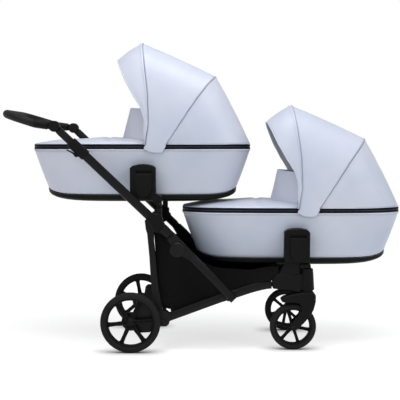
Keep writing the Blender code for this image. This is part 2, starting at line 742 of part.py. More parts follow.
# Rear axle: cross tube, and at each end a forked casting with the leg's pin,
# the seat of the lower tube and the bore of the suspension arm.
cheek_inner = LEG_INNER - RUNNING_GAP - CHEEK
casting_outline = rounded([(0.1000, 0.1010), (0.1450, 0.1010), (0.1490, 0.1080), (0.1440, 0.1290),
                           (0.1320, 0.1300), (0.1000, 0.1300)], 0.003, 1)
cheek_outline = rounded([(0.0990, 0.1030), (0.1450, 0.1010), (0.1560, 0.1110), (0.1600, 0.1300),
                         (0.1570, 0.1540),
                         (0.1450, 0.1650), (0.1240, 0.1690), (0.1030, 0.1660), (0.1000, 0.1400)], 0.006, 1)
rear_axle = prism("rear_axle", casting_outline, cheek_inner, CHEEK_OUTER + CHEEK - RUNNING_GAP)
join(rear_axle, prism("cheek", cheek_outline, cheek_inner, cheek_inner + CHEEK),
     prism("cheek", cheek_outline, CHEEK_OUTER, CHEEK_OUTER + CHEEK - RUNNING_GAP),
     pin("leg_pin", LEG_FOOT, LEG_PIN_R, cheek_inner + 0.002, CHEEK_OUTER + CHEEK + 0.0018, 14))
arm_bore_inner = LEG_INNER + 0.006
cut(rear_axle, pin("bore", (ARM_PIVOT_X, ARM_PIVOT_Z), ARM_PIN_R + GAP, arm_bore_inner, ARM_INNER + 0.01, 14))
left_casting = mirrored(rear_axle, "casting")
cross = cylinder("cross", (AXLE_TUBE_X, -cheek_inner - 0.003, AXLE_TUBE_Z),
                 (AXLE_TUBE_X, cheek_inner + 0.003, AXLE_TUBE_Z), AXLE_TUBE_R)
join(rear_axle, cross, left_casting)
coat(rear_axle, FRAME)

# Suspension arm: a trailing arm with its damper housing and the wheel's stub axle.
REAR_AXLE = (0.0, REAR_WHEEL_R)
arm_outline = (arc((ARM_PIVOT_X, ARM_PIVOT_Z), 0.012, -80, 95, 5)
               + [(0.1000, 0.1345), (0.0915, 0.1500), (0.0880, 0.1900), (0.0800, 0.2000), (0.0330, 0.2000),
                  (0.0220, 0.1900), (0.0175, 0.1620)]
               + arc(REAR_AXLE, 0.0390, 66, 288, 12) + [(0.0240, 0.0790), (0.0340, 0.0760), (0.0760, 0.0780),
                                                       (0.0920, 0.0860), (0.1000, 0.1060)])
suspension_arm_right = prism("suspension_arm_right", arm_outline, ARM_INNER, ARM_OUTER, bevel=0.002)
stub_end = REAR_TRACK_Y + REAR_TYRE_WIDTH / 2 - 0.005
join(suspension_arm_right, pin("stub", REAR_AXLE, REAR_AXLE_PIN_R, ARM_OUTER - 0.004, stub_end, 16),
     pin("arm_pin", (ARM_PIVOT_X, ARM_PIVOT_Z), ARM_PIN_R, arm_bore_inner + RUNNING_GAP, ARM_INNER + 0.004,
         14))
coat(suspension_arm_right, FRAME)

# Rear leg: a slightly bowed box tube with an eye at the foot.
leg_outline = [(0.0565, 0.5370), (0.0610, 0.5000), (0.0664, 0.4833), (0.0752, 0.3900), (0.0803, 0.3000),
               (0.0855, 0.2500), (0.0925, 0.2000), (0.1020, 0.1600)]
leg_outline += arc(LEG_FOOT, 0.0135, 195, 350, 5)
leg_outline += [(0.1285, 0.1700), (0.1225, 0.2050), (0.1148, 0.2500), (0.1078, 0.3000), (0.1007, 0.3900),
                (0.0940, 0.4500), (0.0935, 0.4900), (0.1005, 0.5300)]
leg_outline += arc(LEG_TOP, 0.0190, 10, 165, 5)
leg_hole = disc(LEG_FOOT, LEG_PIN_R + GAP, 14)
rear_leg_right = prism("rear_leg_right", leg_outline, LEG_INNER, LEG_INNER + LEG_THICK, (leg_hole,),
                       bevel=0.004)
coat(rear_leg_right, FRAME)

# Lower diagonal: a tube on the lower tube, then the hub's outer plate, its
# pin and the round cover.
half_lane = TUBE_MID + GAP / 2
diagonal_low = DIAGONAL_OFFSET - DIAGONAL_HEIGHT / 2
diagonal_high = DIAGONAL_OFFSET + DIAGONAL_HEIGHT / 2
lower_diagonal_right = bar("lower_diagonal_right", on_diagonal(DIAGONAL_START, DIAGONAL_OFFSET),
                           on_diagonal(DIAGONAL_END, DIAGONAL_OFFSET), TUBE_INNER, TUBE_OUTER,
                           DIAGONAL_HEIGHT, TUBE_CORNER)
tube_low = TUBE_OFFSET - TUBE_HEIGHT / 2
tube_high = TUBE_OFFSET + TUBE_HEIGHT / 2
low_along = math.sqrt(HUB_CLEAR_R ** 2 - tube_low ** 2)
high_along = math.sqrt(HUB_CLEAR_R ** 2 - tube_high ** 2)
plate_outline = [on_diagonal(DIAGONAL_START + 0.012, diagonal_low + 0.004),
                 on_diagonal(DIAGONAL_START + 0.012, diagonal_high - 0.0005),
                 on_diagonal(0.015, diagonal_high), on_tube(0.010, tube_high),
                 on_tube(high_along, tube_high), on_tube((high_along + low_along) / 2 + 0.002, TUBE_OFFSET),
                 on_tube(low_along, tube_low)]
plate_outline += arc(HUB, HUB_DISC_R - 0.001, TUBE_ANGLE + 12, DIAGONAL_ANGLE + 360 - 12, 8)
hub_plate = prism("hub_plate", plate_outline, half_lane, TUBE_OUTER - 0.0004)
hub_cover = turned("hub_cover", [(0, HUB_DISC_RISE), (HUB_DISC_R - 0.004, HUB_DISC_RISE),
                                 (HUB_DISC_R, HUB_DISC_RISE - 0.003),
                                 (HUB_DISC_R, -0.006), (0, -0.006)], 32,
                   Matrix.Translation((HUB_X, -TUBE_OUTER, HUB_Z)) @ Matrix.Rotation(math.radians(90), 4,
                                                                                     "X"))
join(lower_diagonal_right, hub_plate, hub_cover,
     pin("hub_pin", HUB, HUB_PIN_R, TUBE_INNER, TUBE_OUTER - 0.004, 16))
foot_seat = bar("seat", on_diagonal(DIAGONAL_END - 0.060, 0.0), on_diagonal(DIAGONAL_END + 0.020, 0.0),
                TUBE_INNER - 0.02, TUBE_INNER - 0.01, 0.01, 0.001)
bpy.data.objects.remove(foot_seat)
diagonal_foot = prism("foot", disc(on_diagonal(DIAGONAL_END - 0.022, DIAGONAL_OFFSET), 0.013, 14),
                      LEG_INNER + LEG_THICK + GAP, TUBE_INNER + 0.004)
join(lower_diagonal_right, diagonal_foot)
coat(lower_diagonal_right, FRAME)

# Push tube: hollow above for the telescopic tube, with a tongue on the hub's pin.
push_tube_right = bar("push_tube_right", on_tube(TUBE_START, TUBE_OFFSET), on_tube(TUBE_END, TUBE_OFFSET),
                      TUBE_INNER, TUBE_OUTER, TUBE_HEIGHT, TUBE_CORNER)
tongue_outline = [on_tube(TUBE_START + 0.012, tube_high - 0.0005),
                  on_tube(TUBE_START + 0.012, tube_low + 0.004)]
tongue_outline += arc(HUB, TONGUE_R, TUBE_ANGLE + 12, TUBE_ANGLE + 250, 9)
tongue_outline += [on_tube(0.016, tube_high - 0.004)]
tongue = prism("tongue", tongue_outline, TUBE_INNER + 0.0004, TUBE_MID - GAP / 2,
               (disc(HUB, HUB_PIN_R + GAP),))
join(push_tube_right, tongue)
cut(push_tube_right, bar("bore", on_tube(BORE_END, TUBE_OFFSET), on_tube(TUBE_END + 0.02, TUBE_OFFSET),
                         TUBE_INNER + TUBE_WALL, TUBE_OUTER - TUBE_WALL, TUBE_HEIGHT - 2 * TUBE_WALL,
                         TUBE_CORNER - TUBE_WALL))
coat(push_tube_right, FRAME)

# Joint bracket: a collar round the push tube over the leg's top, and the post
# that carries the upper cot's adaptor.
collar_outline = [on_tube(COLLAR_END, tube_low - 0.0040), on_tube(COLLAR_END, tube_high + 0.0040),
                  on_tube(COLLAR_END - 0.016, tube_high + 0.0090),
                  on_tube(COLLAR_END - 0.022, tube_high + 0.0170),
                  on_tube(COLLAR_START + 0.026, tube_high + 0.0170),
                  on_tube(COLLAR_START + 0.016, tube_high + 0.0045),
                  on_tube(COLLAR_START, tube_high + 0.0035), on_tube(COLLAR_START - 0.004, tube_low + 0.008),
                  on_tube(COLLAR_START, tube_low - 0.0090), on_tube(COLLAR_START + 0.009, tube_low - 0.0150),
                  on_tube(COLLAR_START + 0.020, tube_low - 0.0110),
                  on_tube(COLLAR_START + 0.044, tube_low - 0.0060)]
joint_bracket_right = prism("joint_bracket_right", rounded(collar_outline, 0.005, 1), COLLAR_INNER,
                            COLLAR_OUTER,
                            bevel=0.003)
cut(joint_bracket_right, bar("bore", on_tube(COLLAR_START - 0.05, TUBE_OFFSET),
                             on_tube(COLLAR_END + 0.05, TUBE_OFFSET),
                             TUBE_INNER - GAP, TUBE_OUTER + GAP, TUBE_HEIGHT + 2 * GAP, TUBE_CORNER + GAP))
POST_RISE = math.tan(math.radians(POST_SLOPE))
post_front_z = POST_REAR_Z + (POST_FRONT_X - POST_REAR_X) * POST_RISE
post_outline = [(POST_REAR_X, 0.5720), (POST_FRONT_X, 0.5560), (POST_FRONT_X, post_front_z),
                (POST_REAR_X, POST_REAR_Z)]
root_outline = [(POST_REAR_X + 0.001, 0.5735), (POST_FRONT_X - 0.001, 0.5590), (POST_FRONT_X - 0.001, 0.5860),
                (POST_REAR_X + 0.001, 0.5860)]
post_outer = LEG_INNER + LEG_THICK - 0.0025
join(joint_bracket_right, prism("root", root_outline, post_outer - 0.006, TUBE_OUTER - 0.004),
     prism("post", post_outline, LEG_INNER + GAP, post_outer))
coat(joint_bracket_right, PLASTIC)

# Clamp at the push tube's end, with two ears for its lever.
clamp_half = CLAMP_HEIGHT / 2
clamp_low = TUBE_OFFSET - clamp_half
clamp_right = bar("clamp_right", on_tube(CLAMP_START, TUBE_OFFSET), on_tube(CLAMP_END, TUBE_OFFSET),
                  COLLAR_INNER, COLLAR_OUTER, CLAMP_HEIGHT, 0.011, 2)
LEVER_PIN = on_tube(LEVER_AT, clamp_low - 0.0055)
ear_outline = [on_tube(LEVER_AT - 0.010, clamp_low + 0.002), on_tube(LEVER_AT - 0.0055, clamp_low - 0.0075),
               on_tube(LEVER_AT, clamp_low - 0.0105), on_tube(LEVER_AT + 0.0055, clamp_low - 0.0075),
               on_tube(LEVER_AT + 0.010, clamp_low + 0.002)]
EAR = 0.003
ears = [prism("ear", ear_outline, TUBE_INNER + 0.0015, TUBE_INNER + 0.0015 + EAR),
        prism("ear", ear_outline, TUBE_OUTER - 0.0015 - EAR, TUBE_OUTER - 0.0015)]
join(clamp_right, *ears)
cut(clamp_right, bar("bore", on_tube(CLAMP_START - 0.02, TUBE_OFFSET), on_tube(CLAMP_END + 0.02, TUBE_OFFSET),
                     TUBE_INNER - GAP, TUBE_OUTER + GAP, TUBE_HEIGHT + 2 * GAP, TUBE_CORNER + GAP),
    pin("hole", LEVER_PIN, 0.0020 + GAP, TUBE_INNER - 0.002, TUBE_OUTER + 0.002, 12))
coat(clamp_right, PLASTIC)

lever_outline = arc(LEVER_PIN, 0.0045, TUBE_ANGLE + 90, TUBE_ANGLE + 270, 5)
lever_outline += [on_tube(LEVER_AT + 0.014, clamp_low - 0.0016),
                  on_tube(LEVER_AT + LEVER_LENGTH, clamp_low - 0.0110),
                  on_tube(LEVER_AT + LEVER_LENGTH - 0.002, clamp_low - 0.0150),
                  on_tube(LEVER_AT + 0.016, clamp_low - 0.0075)]
lever_inner = TUBE_INNER + 0.0015 + EAR + GAP
lever_outer = TUBE_OUTER - 0.0015 - EAR - GAP
clamp_lever_right = prism("clamp_lever_right", lever_outline, lever_inner, lever_outer)
join(clamp_lever_right, pin("pin", LEVER_PIN, 0.0020, lever_inner - 0.002, lever_outer + 0.002, 12))
coat(clamp_lever_right, PLASTIC)

# Telescopic tube with the handle joint's fixed half.
tele_inner = TUBE_INNER + TUBE_WALL + GAP
tele_outer = TUBE_OUTER - TUBE_WALL - GAP
tele_height = TUBE_HEIGHT - 2 * TUBE_WALL - 2 * GAP
telescopic_tube_right = bar("telescopic_tube_right", on_tube(TELE_START, TUBE_OFFSET),
                            on_tube(HANDLE_JOINT_AT - HANDLE_JOINT_R - 0.003, TUBE_OFFSET), tele_inner,
                            tele_outer,
                            tele_height, TUBE_CORNER - TUBE_WALL - GAP)
joint_inner = TUBE_INNER - 0.003
joint_mid = TUBE_MID + 0.001
fixed_neck = [on_tube(HANDLE_JOINT_AT - HANDLE_JOINT_R - 0.012, TUBE_OFFSET + tele_height / 2 - 0.001),
              on_tube(HANDLE_JOINT_AT, TUBE_OFFSET + tele_height / 2 - 0.001),
              on_tube(HANDLE_JOINT_AT, TUBE_OFFSET - tele_height / 2 + 0.001),
              on_tube(HANDLE_JOINT_AT - HANDLE_JOINT_R - 0.012, TUBE_OFFSET - tele_height / 2 + 0.001)]
join(telescopic_tube_right, prism("neck", fixed_neck, tele_inner + 0.001, joint_mid - GAP),
     prism("joint", disc(HANDLE_JOINT, HANDLE_JOINT_R, 24), joint_inner, joint_mid, bevel=0.0015),
     pin("joint_pin", HANDLE_JOINT, 0.006, joint_inner + 0.004, TUBE_OUTER - 0.001, 14))
coat(telescopic_tube_right, FRAME)

# Handle arm: the joint's moving half and the sleeve that takes the grip.
SEAM = Vector((HANDLE_SEAM_X, HANDLE_SEAM_Z))
arm_direction = (SEAM - HANDLE_JOINT).normalized()
arm_side = Vector((-arm_direction.y, arm_direction.x))
HANDLE_Y = TUBE_MID + 0.0015
sleeve_start = HANDLE_JOINT + arm_direction * (HANDLE_JOINT_R + 0.006)
sleeve_end = SEAM - arm_direction * GAP
handle_arm_right = cylinder("handle_arm_right", (sleeve_start.x, -HANDLE_Y, sleeve_start.y),
                            (sleeve_end.x, -HANDLE_Y, sleeve_end.y), GRIP_R, 20)
joint_outer = TUBE_OUTER + 0.005
moving_neck = [HANDLE_JOINT + arm_side * 0.015, HANDLE_JOINT - arm_side * 0.015,
               HANDLE_JOINT - arm_side * 0.014 + arm_direction * (HANDLE_JOINT_R + 0.016),
               HANDLE_JOINT + arm_side * 0.014 + arm_direction * (HANDLE_JOINT_R + 0.016)]
join(handle_arm_right, prism("neck", [tuple(p) for p in moving_neck], joint_mid + 2 * GAP,
                             joint_outer - 0.0045),
     prism("joint", disc(HANDLE_JOINT, HANDLE_JOINT_R, 24), joint_mid + GAP, joint_outer, bevel=0.0015))
cut(handle_arm_right, pin("hole", HANDLE_JOINT, 0.006 + GAP, joint_mid - 0.004, TUBE_OUTER - 0.001 + GAP, 14))
coat(handle_arm_right, PLASTIC)

# Handle grip: one padded bar bent round between the two arms.
knee = SEAM + arm_direction * 0.012
grip_path = bend([(knee.x, -HANDLE_Y, knee.y), (HANDLE_BAR_X, -HANDLE_Y, HANDLE_BAR_Z),
                  (HANDLE_BAR_X, HANDLE_Y, HANDLE_BAR_Z), (knee.x, HANDLE_Y, knee.y)], HANDLE_BEND_R)
grip_path = [(SEAM.x, -HANDLE_Y, SEAM.y), *grip_path, (SEAM.x, HANDLE_Y, SEAM.y)]
handle_grip = tube("handle_grip", grip_path, GRIP_R, 2)
coat(handle_grip, GRIP)

# Brake pedal on the rear axle's cross tube.
pedal_r = AXLE_TUBE_R + RUNNING_GAP + PEDAL_WALL
pedal_outline = [(AXLE_TUBE_X - 0.003, AXLE_TUBE_Z + pedal_r - 0.0005), (0.070, 0.1450), (0.038, 0.1560),
                 (0.032, 0.1530), (0.036, 0.1480), (0.068, 0.1350),
                 (AXLE_TUBE_X - pedal_r + 0.0005, AXLE_TUBE_Z)]
brake_pedal = cylinder("brake_pedal", (AXLE_TUBE_X, -PEDAL_HALF, AXLE_TUBE_Z),
                       (AXLE_TUBE_X, PEDAL_HALF, AXLE_TUBE_Z),
                       pedal_r, 18)
join(brake_pedal, prism("pedal", pedal_outline, -PEDAL_HALF + 0.001, PEDAL_HALF - 0.001))
cut(brake_pedal, cylinder("bore", (AXLE_TUBE_X, -PEDAL_HALF - 0.01, AXLE_TUBE_Z),
                          (AXLE_TUBE_X, PEDAL_HALF + 0.01, AXLE_TUBE_Z), AXLE_TUBE_R + RUNNING_GAP, 18))
coat(brake_pedal, PLASTIC)

# Basket: a cloth bag between the lower tubes, high at the rear and low in front.
BASKET_HALF = LEG_INNER - GAP


def tube_top(x, rise=0.0005):
    return (x, lower_height(x) + LOWER_HEIGHT / 2 * 1.07 + rise)


def beside_tube(x, rise=0.0):
    return (x, lower_height(x) + rise)


TUBE_BEND_CLEAR_X = LOWER_BEND_X - 0.018
low_stations = [0.164, LOWER_PATH[1][0], TUBE_BEND_CLEAR_X]
top_stations = [LOWER_BEND_X + step for step in (0.001, 0.020, 0.040, 0.0615, 0.080, 0.100, 0.115, 0.125,
                                                 0.135, 0.145)]
basket_outline = [(0.0925, 0.4920), (BASKET_REAR_X, 0.1930), (0.1350, 0.1745), (0.1615, 0.1672)]
basket_outline += [beside_tube(x) for x in low_stations] + [tube_top(x) for x in top_stations]
basket_outline += [tube_top(BASKET_FRONT_X, 0.0008), (BLOCK_REAR_X + 0.0243, BLOCK_TOP_Z + 0.0008),
                   (BLOCK_REAR_X + 0.0270, BLOCK_TOP_Z + 0.0040), (BLOCK_REAR_X + 0.0285, 0.3560),
                   (BLOCK_REAR_X - 0.0035, 0.3530), (BLOCK_REAR_X - 0.0450, 0.3385),
                   (BLOCK_REAR_X - 0.0870, 0.3300),
                   (BLOCK_REAR_X - 0.1390, 0.3320), (0.3395, 0.3420), (0.2500, 0.3870), (0.1633, 0.4352),
                   (0.1198, 0.4765)]
basket_inside = [(0.0925 + BASKET_WALL, 0.52), (0.0932 + BASKET_WALL, 0.480),
                 (BASKET_REAR_X + BASKET_WALL, 0.1980),
                 (0.1370, 0.1790), (0.1655, 0.1712)]
basket_inside += [beside_tube(x, 0.004) for x in (0.1678, LOWER_PATH[1][0], TUBE_BEND_CLEAR_X - BASKET_WALL)]
basket_inside += [tube_top(x - BASKET_WALL, 0.004) for x in top_stations[:-1]]
basket_inside += [tube_top(BASKET_FRONT_X - BASKET_WALL, 0.0045),
                  (BLOCK_REAR_X + 0.0225, BLOCK_TOP_Z + 0.0055),
                  (BLOCK_REAR_X + 0.0245, 0.3700), (BLOCK_REAR_X + 0.0245, 0.52)]
basket = prism("basket", basket_outline, -BASKET_HALF, BASKET_HALF)
cut(basket, prism("inside", basket_inside, -BASKET_HALF + BASKET_WALL, BASKET_HALF - BASKET_WALL))
tray_under_z = TRAY_TOP_Z - TRAY_DEPTH - COT_DROP
cut(basket, box("front_edge", (0.40, -BASKET_HALF + BASKET_WALL, tray_under_z - 0.004),
                (0.66, BASKET_HALF - BASKET_WALL, 0.40)))
coat(basket, BASKET_CLOTH)


# Cot forms. A ring follows the cot's rounded plan, and its height may follow
# the rocker curve of the base.

def plan_ring(half_length, half_width, height, count=40, exponent=COT_CORNER):
    ring = []
    for i in range(count):
        turn = 2 * math.pi * i / count
        c = math.cos(turn)
        s = math.sin(turn)
        x = half_length * math.copysign(abs(c) ** (2 / exponent), c)
        y = half_width * math.copysign(abs(s) ** (2 / exponent), s)
        ring.append((COT_X + x, y, height(x) if callable(height) else height))
    return ring


def lofted(name, rings, closed=False):
    """Rings bridged in turn, with the first and last capped in strips across the cot"""
    built = bmesh.new()
    made = [[built.verts.new(point) for point in ring] for ring in rings]
    count = len(made[0])
    pairs = list(zip(made, made[1:]))
    if closed:
        pairs.append((made[-1], made[0]))
    for first, second in pairs:
        for i in range(count):
            built.faces.new((first[i - 1], first[i], second[i], second[i - 1]))
    if not closed:
        for ring in (made[0], made[-1]):
            built.faces.new((ring[-1], ring[0], ring[1]))
            for i in range(1, count // 2 - 1):
                built.faces.new((ring[i], ring[i + 1], ring[count - i - 1], ring[count - i]))
            built.faces.new((ring[count // 2 - 1], ring[count // 2], ring[count // 2 + 1]))
    return closed_mesh(name, built)


def rocker(x, base=TRAY_TOP_Z, rise=TRAY_END_RISE, power=10):
    """Height of the base, flat in the middle and turned up at both ends"""
    return base + rise * min(abs(x) / COT_BASE_HALF_LENGTH, 1.0) ** power


def tray_under(x, up=0.0):
    """Height of the tray's underside, which turns up sooner than its edge"""
    return rocker(x, TRAY_TOP_Z - TRAY_DEPTH + up, 0.028, 6)


def tub_rings(grow=0.0, floor=0.0, top=RIM_BOTTOM_Z):
    """Outer rings of the tub from the base up, grown outward or inward"""
    spread = [(0.0, 0.0), (0.10, 0.02), (0.28, 0.24), (0.52, 0.56), (0.78, 0.80), (1.0, 1.0)]
    rings = []
    for share, up in spread:
        length = COT_BASE_HALF_LENGTH + (COT_HALF_LENGTH - COT_BASE_HALF_LENGTH) * (0.35 * share + 0.65 * up) + grow
        width = COT_BASE_HALF_WIDTH + (COT_HALF_WIDTH - 0.0005 - COT_BASE_HALF_WIDTH) * (0.35 * share + 0.65 * up) + grow

        def height(x, up=up):
            low = rocker(x) + floor
            return low + (top - low) * up
        rings.append(plan_ring(length, width, height))
    return [rings[0]] + rings[2:]


def make_tub():
    outer = tub_rings(floor=GAP, top=RIM_BOTTOM_Z - GAP)
    inner = tub_rings(grow=-COT_WALL, floor=GAP + COT_WALL, top=RIM_BOTTOM_Z - GAP)
    return coat(lofted("upper_tub", outer + list(reversed(inner))), PEARL)


upper_tub = make_tub()

# Base tray: the dark moulded rocker under the tub, a pan open to the top.
tray_rings = [plan_ring(COT_BASE_HALF_LENGTH - 0.020, COT_BASE_HALF_WIDTH - 0.020, tray_under),
              plan_ring(COT_BASE_HALF_LENGTH - 0.008, COT_BASE_HALF_WIDTH - 0.008,
                        lambda x: tray_under(x, 0.003)),
              plan_ring(COT_BASE_HALF_LENGTH - 0.001, COT_BASE_HALF_WIDTH - 0.001,
                        lambda x: tray_under(x, 0.009)),
              plan_ring(COT_BASE_HALF_LENGTH + 0.001, COT_BASE_HALF_WIDTH + 0.001, rocker),
              plan_ring(COT_BASE_HALF_LENGTH + 0.001 - TRAY_WALL, COT_BASE_HALF_WIDTH + 0.001 - TRAY_WALL,
                        rocker),
              plan_ring(COT_BASE_HALF_LENGTH - 0.004 - TRAY_WALL, COT_BASE_HALF_WIDTH - 0.004 - TRAY_WALL,
                        lambda x: tray_under(x, 0.010)),
              plan_ring(COT_BASE_HALF_LENGTH - 0.020 - TRAY_WALL, COT_BASE_HALF_WIDTH - 0.020 - TRAY_WALL,
                        lambda x: tray_under(x, TRAY_WALL))]
upper_base_tray = coat(lofted("upper_base_tray", tray_rings), PLASTIC)

# Rim: the zip band round the top of the tub.
rim_in = COT_HALF_LENGTH - RIM_WIDTH
rim_in_y = COT_HALF_WIDTH - RIM_WIDTH
rim_rings = [plan_ring(rim_in, rim_in_y, RIM_BOTTOM_Z), plan_ring(COT_HALF_LENGTH - 0.001,
                                                                  COT_HALF_WIDTH - 0.001, RIM_BOTTOM_Z),
             plan_ring(COT_HALF_LENGTH, COT_HALF_WIDTH, RIM_BOTTOM_Z + RIM_HEIGHT / 2),
             plan_ring(COT_HALF_LENGTH - 0.001, COT_HALF_WIDTH - 0.001, RIM_TOP_Z),
             plan_ring(rim_in, rim_in_y, RIM_TOP_Z)]
upper_rim = coat(lofted("upper_rim", rim_rings, closed=True), ZIP_BAND)

# Mattress, with a crown and drawn-in lower edges.
bed_length = COT_BASE_HALF_LENGTH - COT_WALL - MATTRESS_GAP
bed_width = COT_BASE_HALF_WIDTH - COT_WALL - MATTRESS_GAP
bed_base = TRAY_TOP_Z + COT_WALL + 2 * GAP
bed_rings = [plan_ring(bed_length - inset, bed_width - inset, lambda x,
                       up=up: rocker(x, bed_base + up, 0.030, 8), 28)
             for inset, up in ((0.012, 0.0), (0.001, 0.010), (0.0, MATTRESS_THICK * 0.62),
                               (0.010, MATTRESS_THICK - 0.003), (0.050, MATTRESS_THICK))]
upper_mattress = coat(lofted("upper_mattress", bed_rings), LINING, 60)


# Apron: a domed cover over the foot end, its front edge curved back round
# the raised wind flap.

def dome(share):
    return APRON_DOME * (1 - share ** 4)


def flap_x(y, z):
    lean = FLAP_LEAN * (z - RIM_TOP_Z) / (FLAP_TOP_Z - RIM_TOP_Z)
    return APRON_FRONT_X + lean + FLAP_WRAP * (abs(y) / FLAP_HALF_WIDTH) ** 2.4


apron_base = RIM_TOP_Z + GAP
apron_shares = (0.40, 0.75, 0.92, 1.0)
over = [plan_ring(COT_HALF_LENGTH * s, COT_HALF_WIDTH * s, apron_base + APRON_THICK + dome(s),
                  32) for s in apron_shares]
under = [plan_ring(COT_HALF_LENGTH * s, COT_HALF_WIDTH * s, apron_base + dome(s), 32) for s in apron_shares]
upper_apron = lofted("upper_apron", under + list(reversed(over)))
flap_sides = [FLAP_HALF_WIDTH * 1.25 * (i - 9) / 9 for i in range(19)]
clear_outline = [(flap_x(y, RIM_TOP_Z), y) for y in flap_sides] + [(COT_X + 0.6, 0.3), (COT_X + 0.6, -0.3)]
opening = flat_curve("opening", (clear_outline,), 0.4)
opening.location = (0, 0, RIM_TOP_Z)
cut(upper_apron, meshed(opening))


def flap():
    """The raised flap: a thin wall that leans with height and wraps to the sides"""
    built = bmesh.new()
    rings = []
    for i in range(15):
        y = FLAP_HALF_WIDTH * (i - 7) / 7
        ring = []
        reach = abs((flap_x(y, RIM_TOP_Z) - COT_X) / COT_HALF_LENGTH) ** COT_CORNER
        share = min((reach + (abs(y) / COT_HALF_WIDTH) ** COT_CORNER) ** (1 / COT_CORNER), 1.0)
        low = apron_base + dome(share) + 0.0015
        for back, z in ((0.0065, low), (0.0015, low), (0.0015, FLAP_TOP_Z - 0.0002), (0.0065, FLAP_TOP_Z)):
            top = FLAP_TOP_Z - 0.010 * (abs(y) / FLAP_HALF_WIDTH) ** 2
            z = min(z, top)
            ring.append(built.verts.new((flap_x(y, z) - back, y, z)))
        rings.append(ring)
    for first, second in zip(rings, rings[1:]):
        for k in range(4):
            built.faces.new((first[k - 1], first[k], second[k], second[k - 1]))
    built.faces.new(rings[0])
    built.faces.new(rings[-1])
    return closed_mesh("flap", built)


join(upper_apron, flap())
coat(upper_apron, PEARL, 60)


# Hood: arches of one family in planes through the pivots. Cloth is lofted
# between the back edge, the middle bow and the front bow, and the visor
# runs on from the front bow.

def arch(angle, length, half_width, inset=0.0, lean=0.0, start=CLOTH_START_R, count=24, lift=None, shift=0.0):
    """Points of one arch from the near pivot over to the far one"""
    size = length - inset
    wide = half_width - inset
    first = math.asin(min((start / size) ** (HOOD_ARCH / 2), 1.0))
    points = []
    for i in range(count + 1):
        turn = first + (math.pi - 2 * first) * i / count
        r = size * math.sin(turn) ** (2 / HOOD_ARCH)
        c = math.cos(turn)
        y = -wide * math.copysign(abs(c) ** (2 / HOOD_ARCH), c)
        tilt = math.radians(angle + lean * (1 - r / size))
        x = HOOD_PIVOT_X + r * math.cos(tilt) + shift * math.sin(tilt)
        z = HOOD_PIVOT_Z + r * math.sin(tilt) - shift * math.cos(tilt)
        if lift is not None:
            z = max(z, lift)
        points.append((x, y, z))
    return points


def arch_shell(name, outer, inner):
    """A closed shell between matching outer and inner arches"""
    built = bmesh.new()
    out = [[built.verts.new(p) for p in row] for row in outer]
    ins = [[built.verts.new(p) for p in row] for row in inner]
    for rows in (out, ins):
        for first, second in zip(rows, rows[1:]):
            for i in range(len(first) - 1):
                built.faces.new((first[i], first[i + 1], second[i + 1], second[i]))
    for a, b in ((out[0], ins[0]), (out[-1], ins[-1])):
        for i in range(len(a) - 1):
            built.faces.new((a[i], a[i + 1], b[i + 1], b[i]))
    for end in (0, -1):
        for k in range(len(out) - 1):
            built.faces.new((out[k][end], out[k + 1][end], ins[k + 1][end], ins[k][end]))
    return closed_mesh(name, built)


back_z = RIM_TOP_Z + 2 * GAP
cloth_rows = []
for inset in (0.0, HOOD_CLOTH):
    back = arch(BACK_ANGLE, BACK_LENGTH, COT_HALF_WIDTH, inset, lift=back_z)
    middle = arch(MID_BOW_ANGLE, MID_BOW_LENGTH, HOOD_HALF_WIDTH, inset)
    front = arch(FRONT_BOW_ANGLE, FRONT_BOW_LENGTH, HOOD_HALF_WIDTH, inset, lean=FRONT_BOW_LEAN)
    cloth_rows.append([back, middle, front])
upper_hood_fabric = coat(arch_shell("upper_hood_fabric", *cloth_rows), PEARL, 50)

bow_rows = []
bow_outer = HOOD_HALF_WIDTH - HOOD_CLOTH - BOW_GAP
bow_reach = MID_BOW_LENGTH - HOOD_CLOTH - BOW_GAP
for inset in (0.0, BOW_STRAP):
    bow_rows.append([arch(MID_BOW_ANGLE, bow_reach, bow_outer, inset, start=BOW_START_R, shift=side)
                     for side in (BOW_WIDTH / 2, -BOW_WIDTH / 2)])
upper_hood_bow = coat(arch_shell("upper_hood_bow", *bow_rows), PLASTIC)

visor_rows = []
SEAM_GAP = 0.0012
for inset in (0.0, VISOR_THICK):
    seam = arch(FRONT_BOW_ANGLE, FRONT_BOW_LENGTH + 0.0025, HOOD_HALF_WIDTH + 0.0025, inset,
                lean=FRONT_BOW_LEAN,
                start=0.050, shift=-SEAM_GAP)
    crown = arch(105.0, 0.4255, HOOD_HALF_WIDTH + 0.0025, inset, lean=FRONT_BOW_LEAN / 2, start=0.050)
    edge = arch(VISOR_ANGLE, VISOR_LENGTH, HOOD_HALF_WIDTH + 0.0025, inset, lean=VISOR_LEAN, start=0.050)
    visor_rows.append([seam, crown, edge])
upper_hood_visor = arch_shell("upper_hood_visor", *visor_rows)
tab_outline = rounded([(HOOD_PIVOT_X - 0.033, 0.8140), (HOOD_PIVOT_X + 0.038, 0.8120),
                       (HOOD_PIVOT_X + 0.051, 0.8540),
                       (HOOD_PIVOT_X + 0.034, 0.8780), (HOOD_PIVOT_X - 0.0155, 0.8935)], 0.006, 1)
join(upper_hood_visor, prism("tab", tab_outline, TAB_INNER, TAB_OUTER),
     prism("tab", tab_outline, -TAB_OUTER, -TAB_INNER))
coat(upper_hood_visor, PEARL, 50)


# Adaptors: a housing fitted to the tub's side, with its shield, window and
# the foot that stands on the frame.

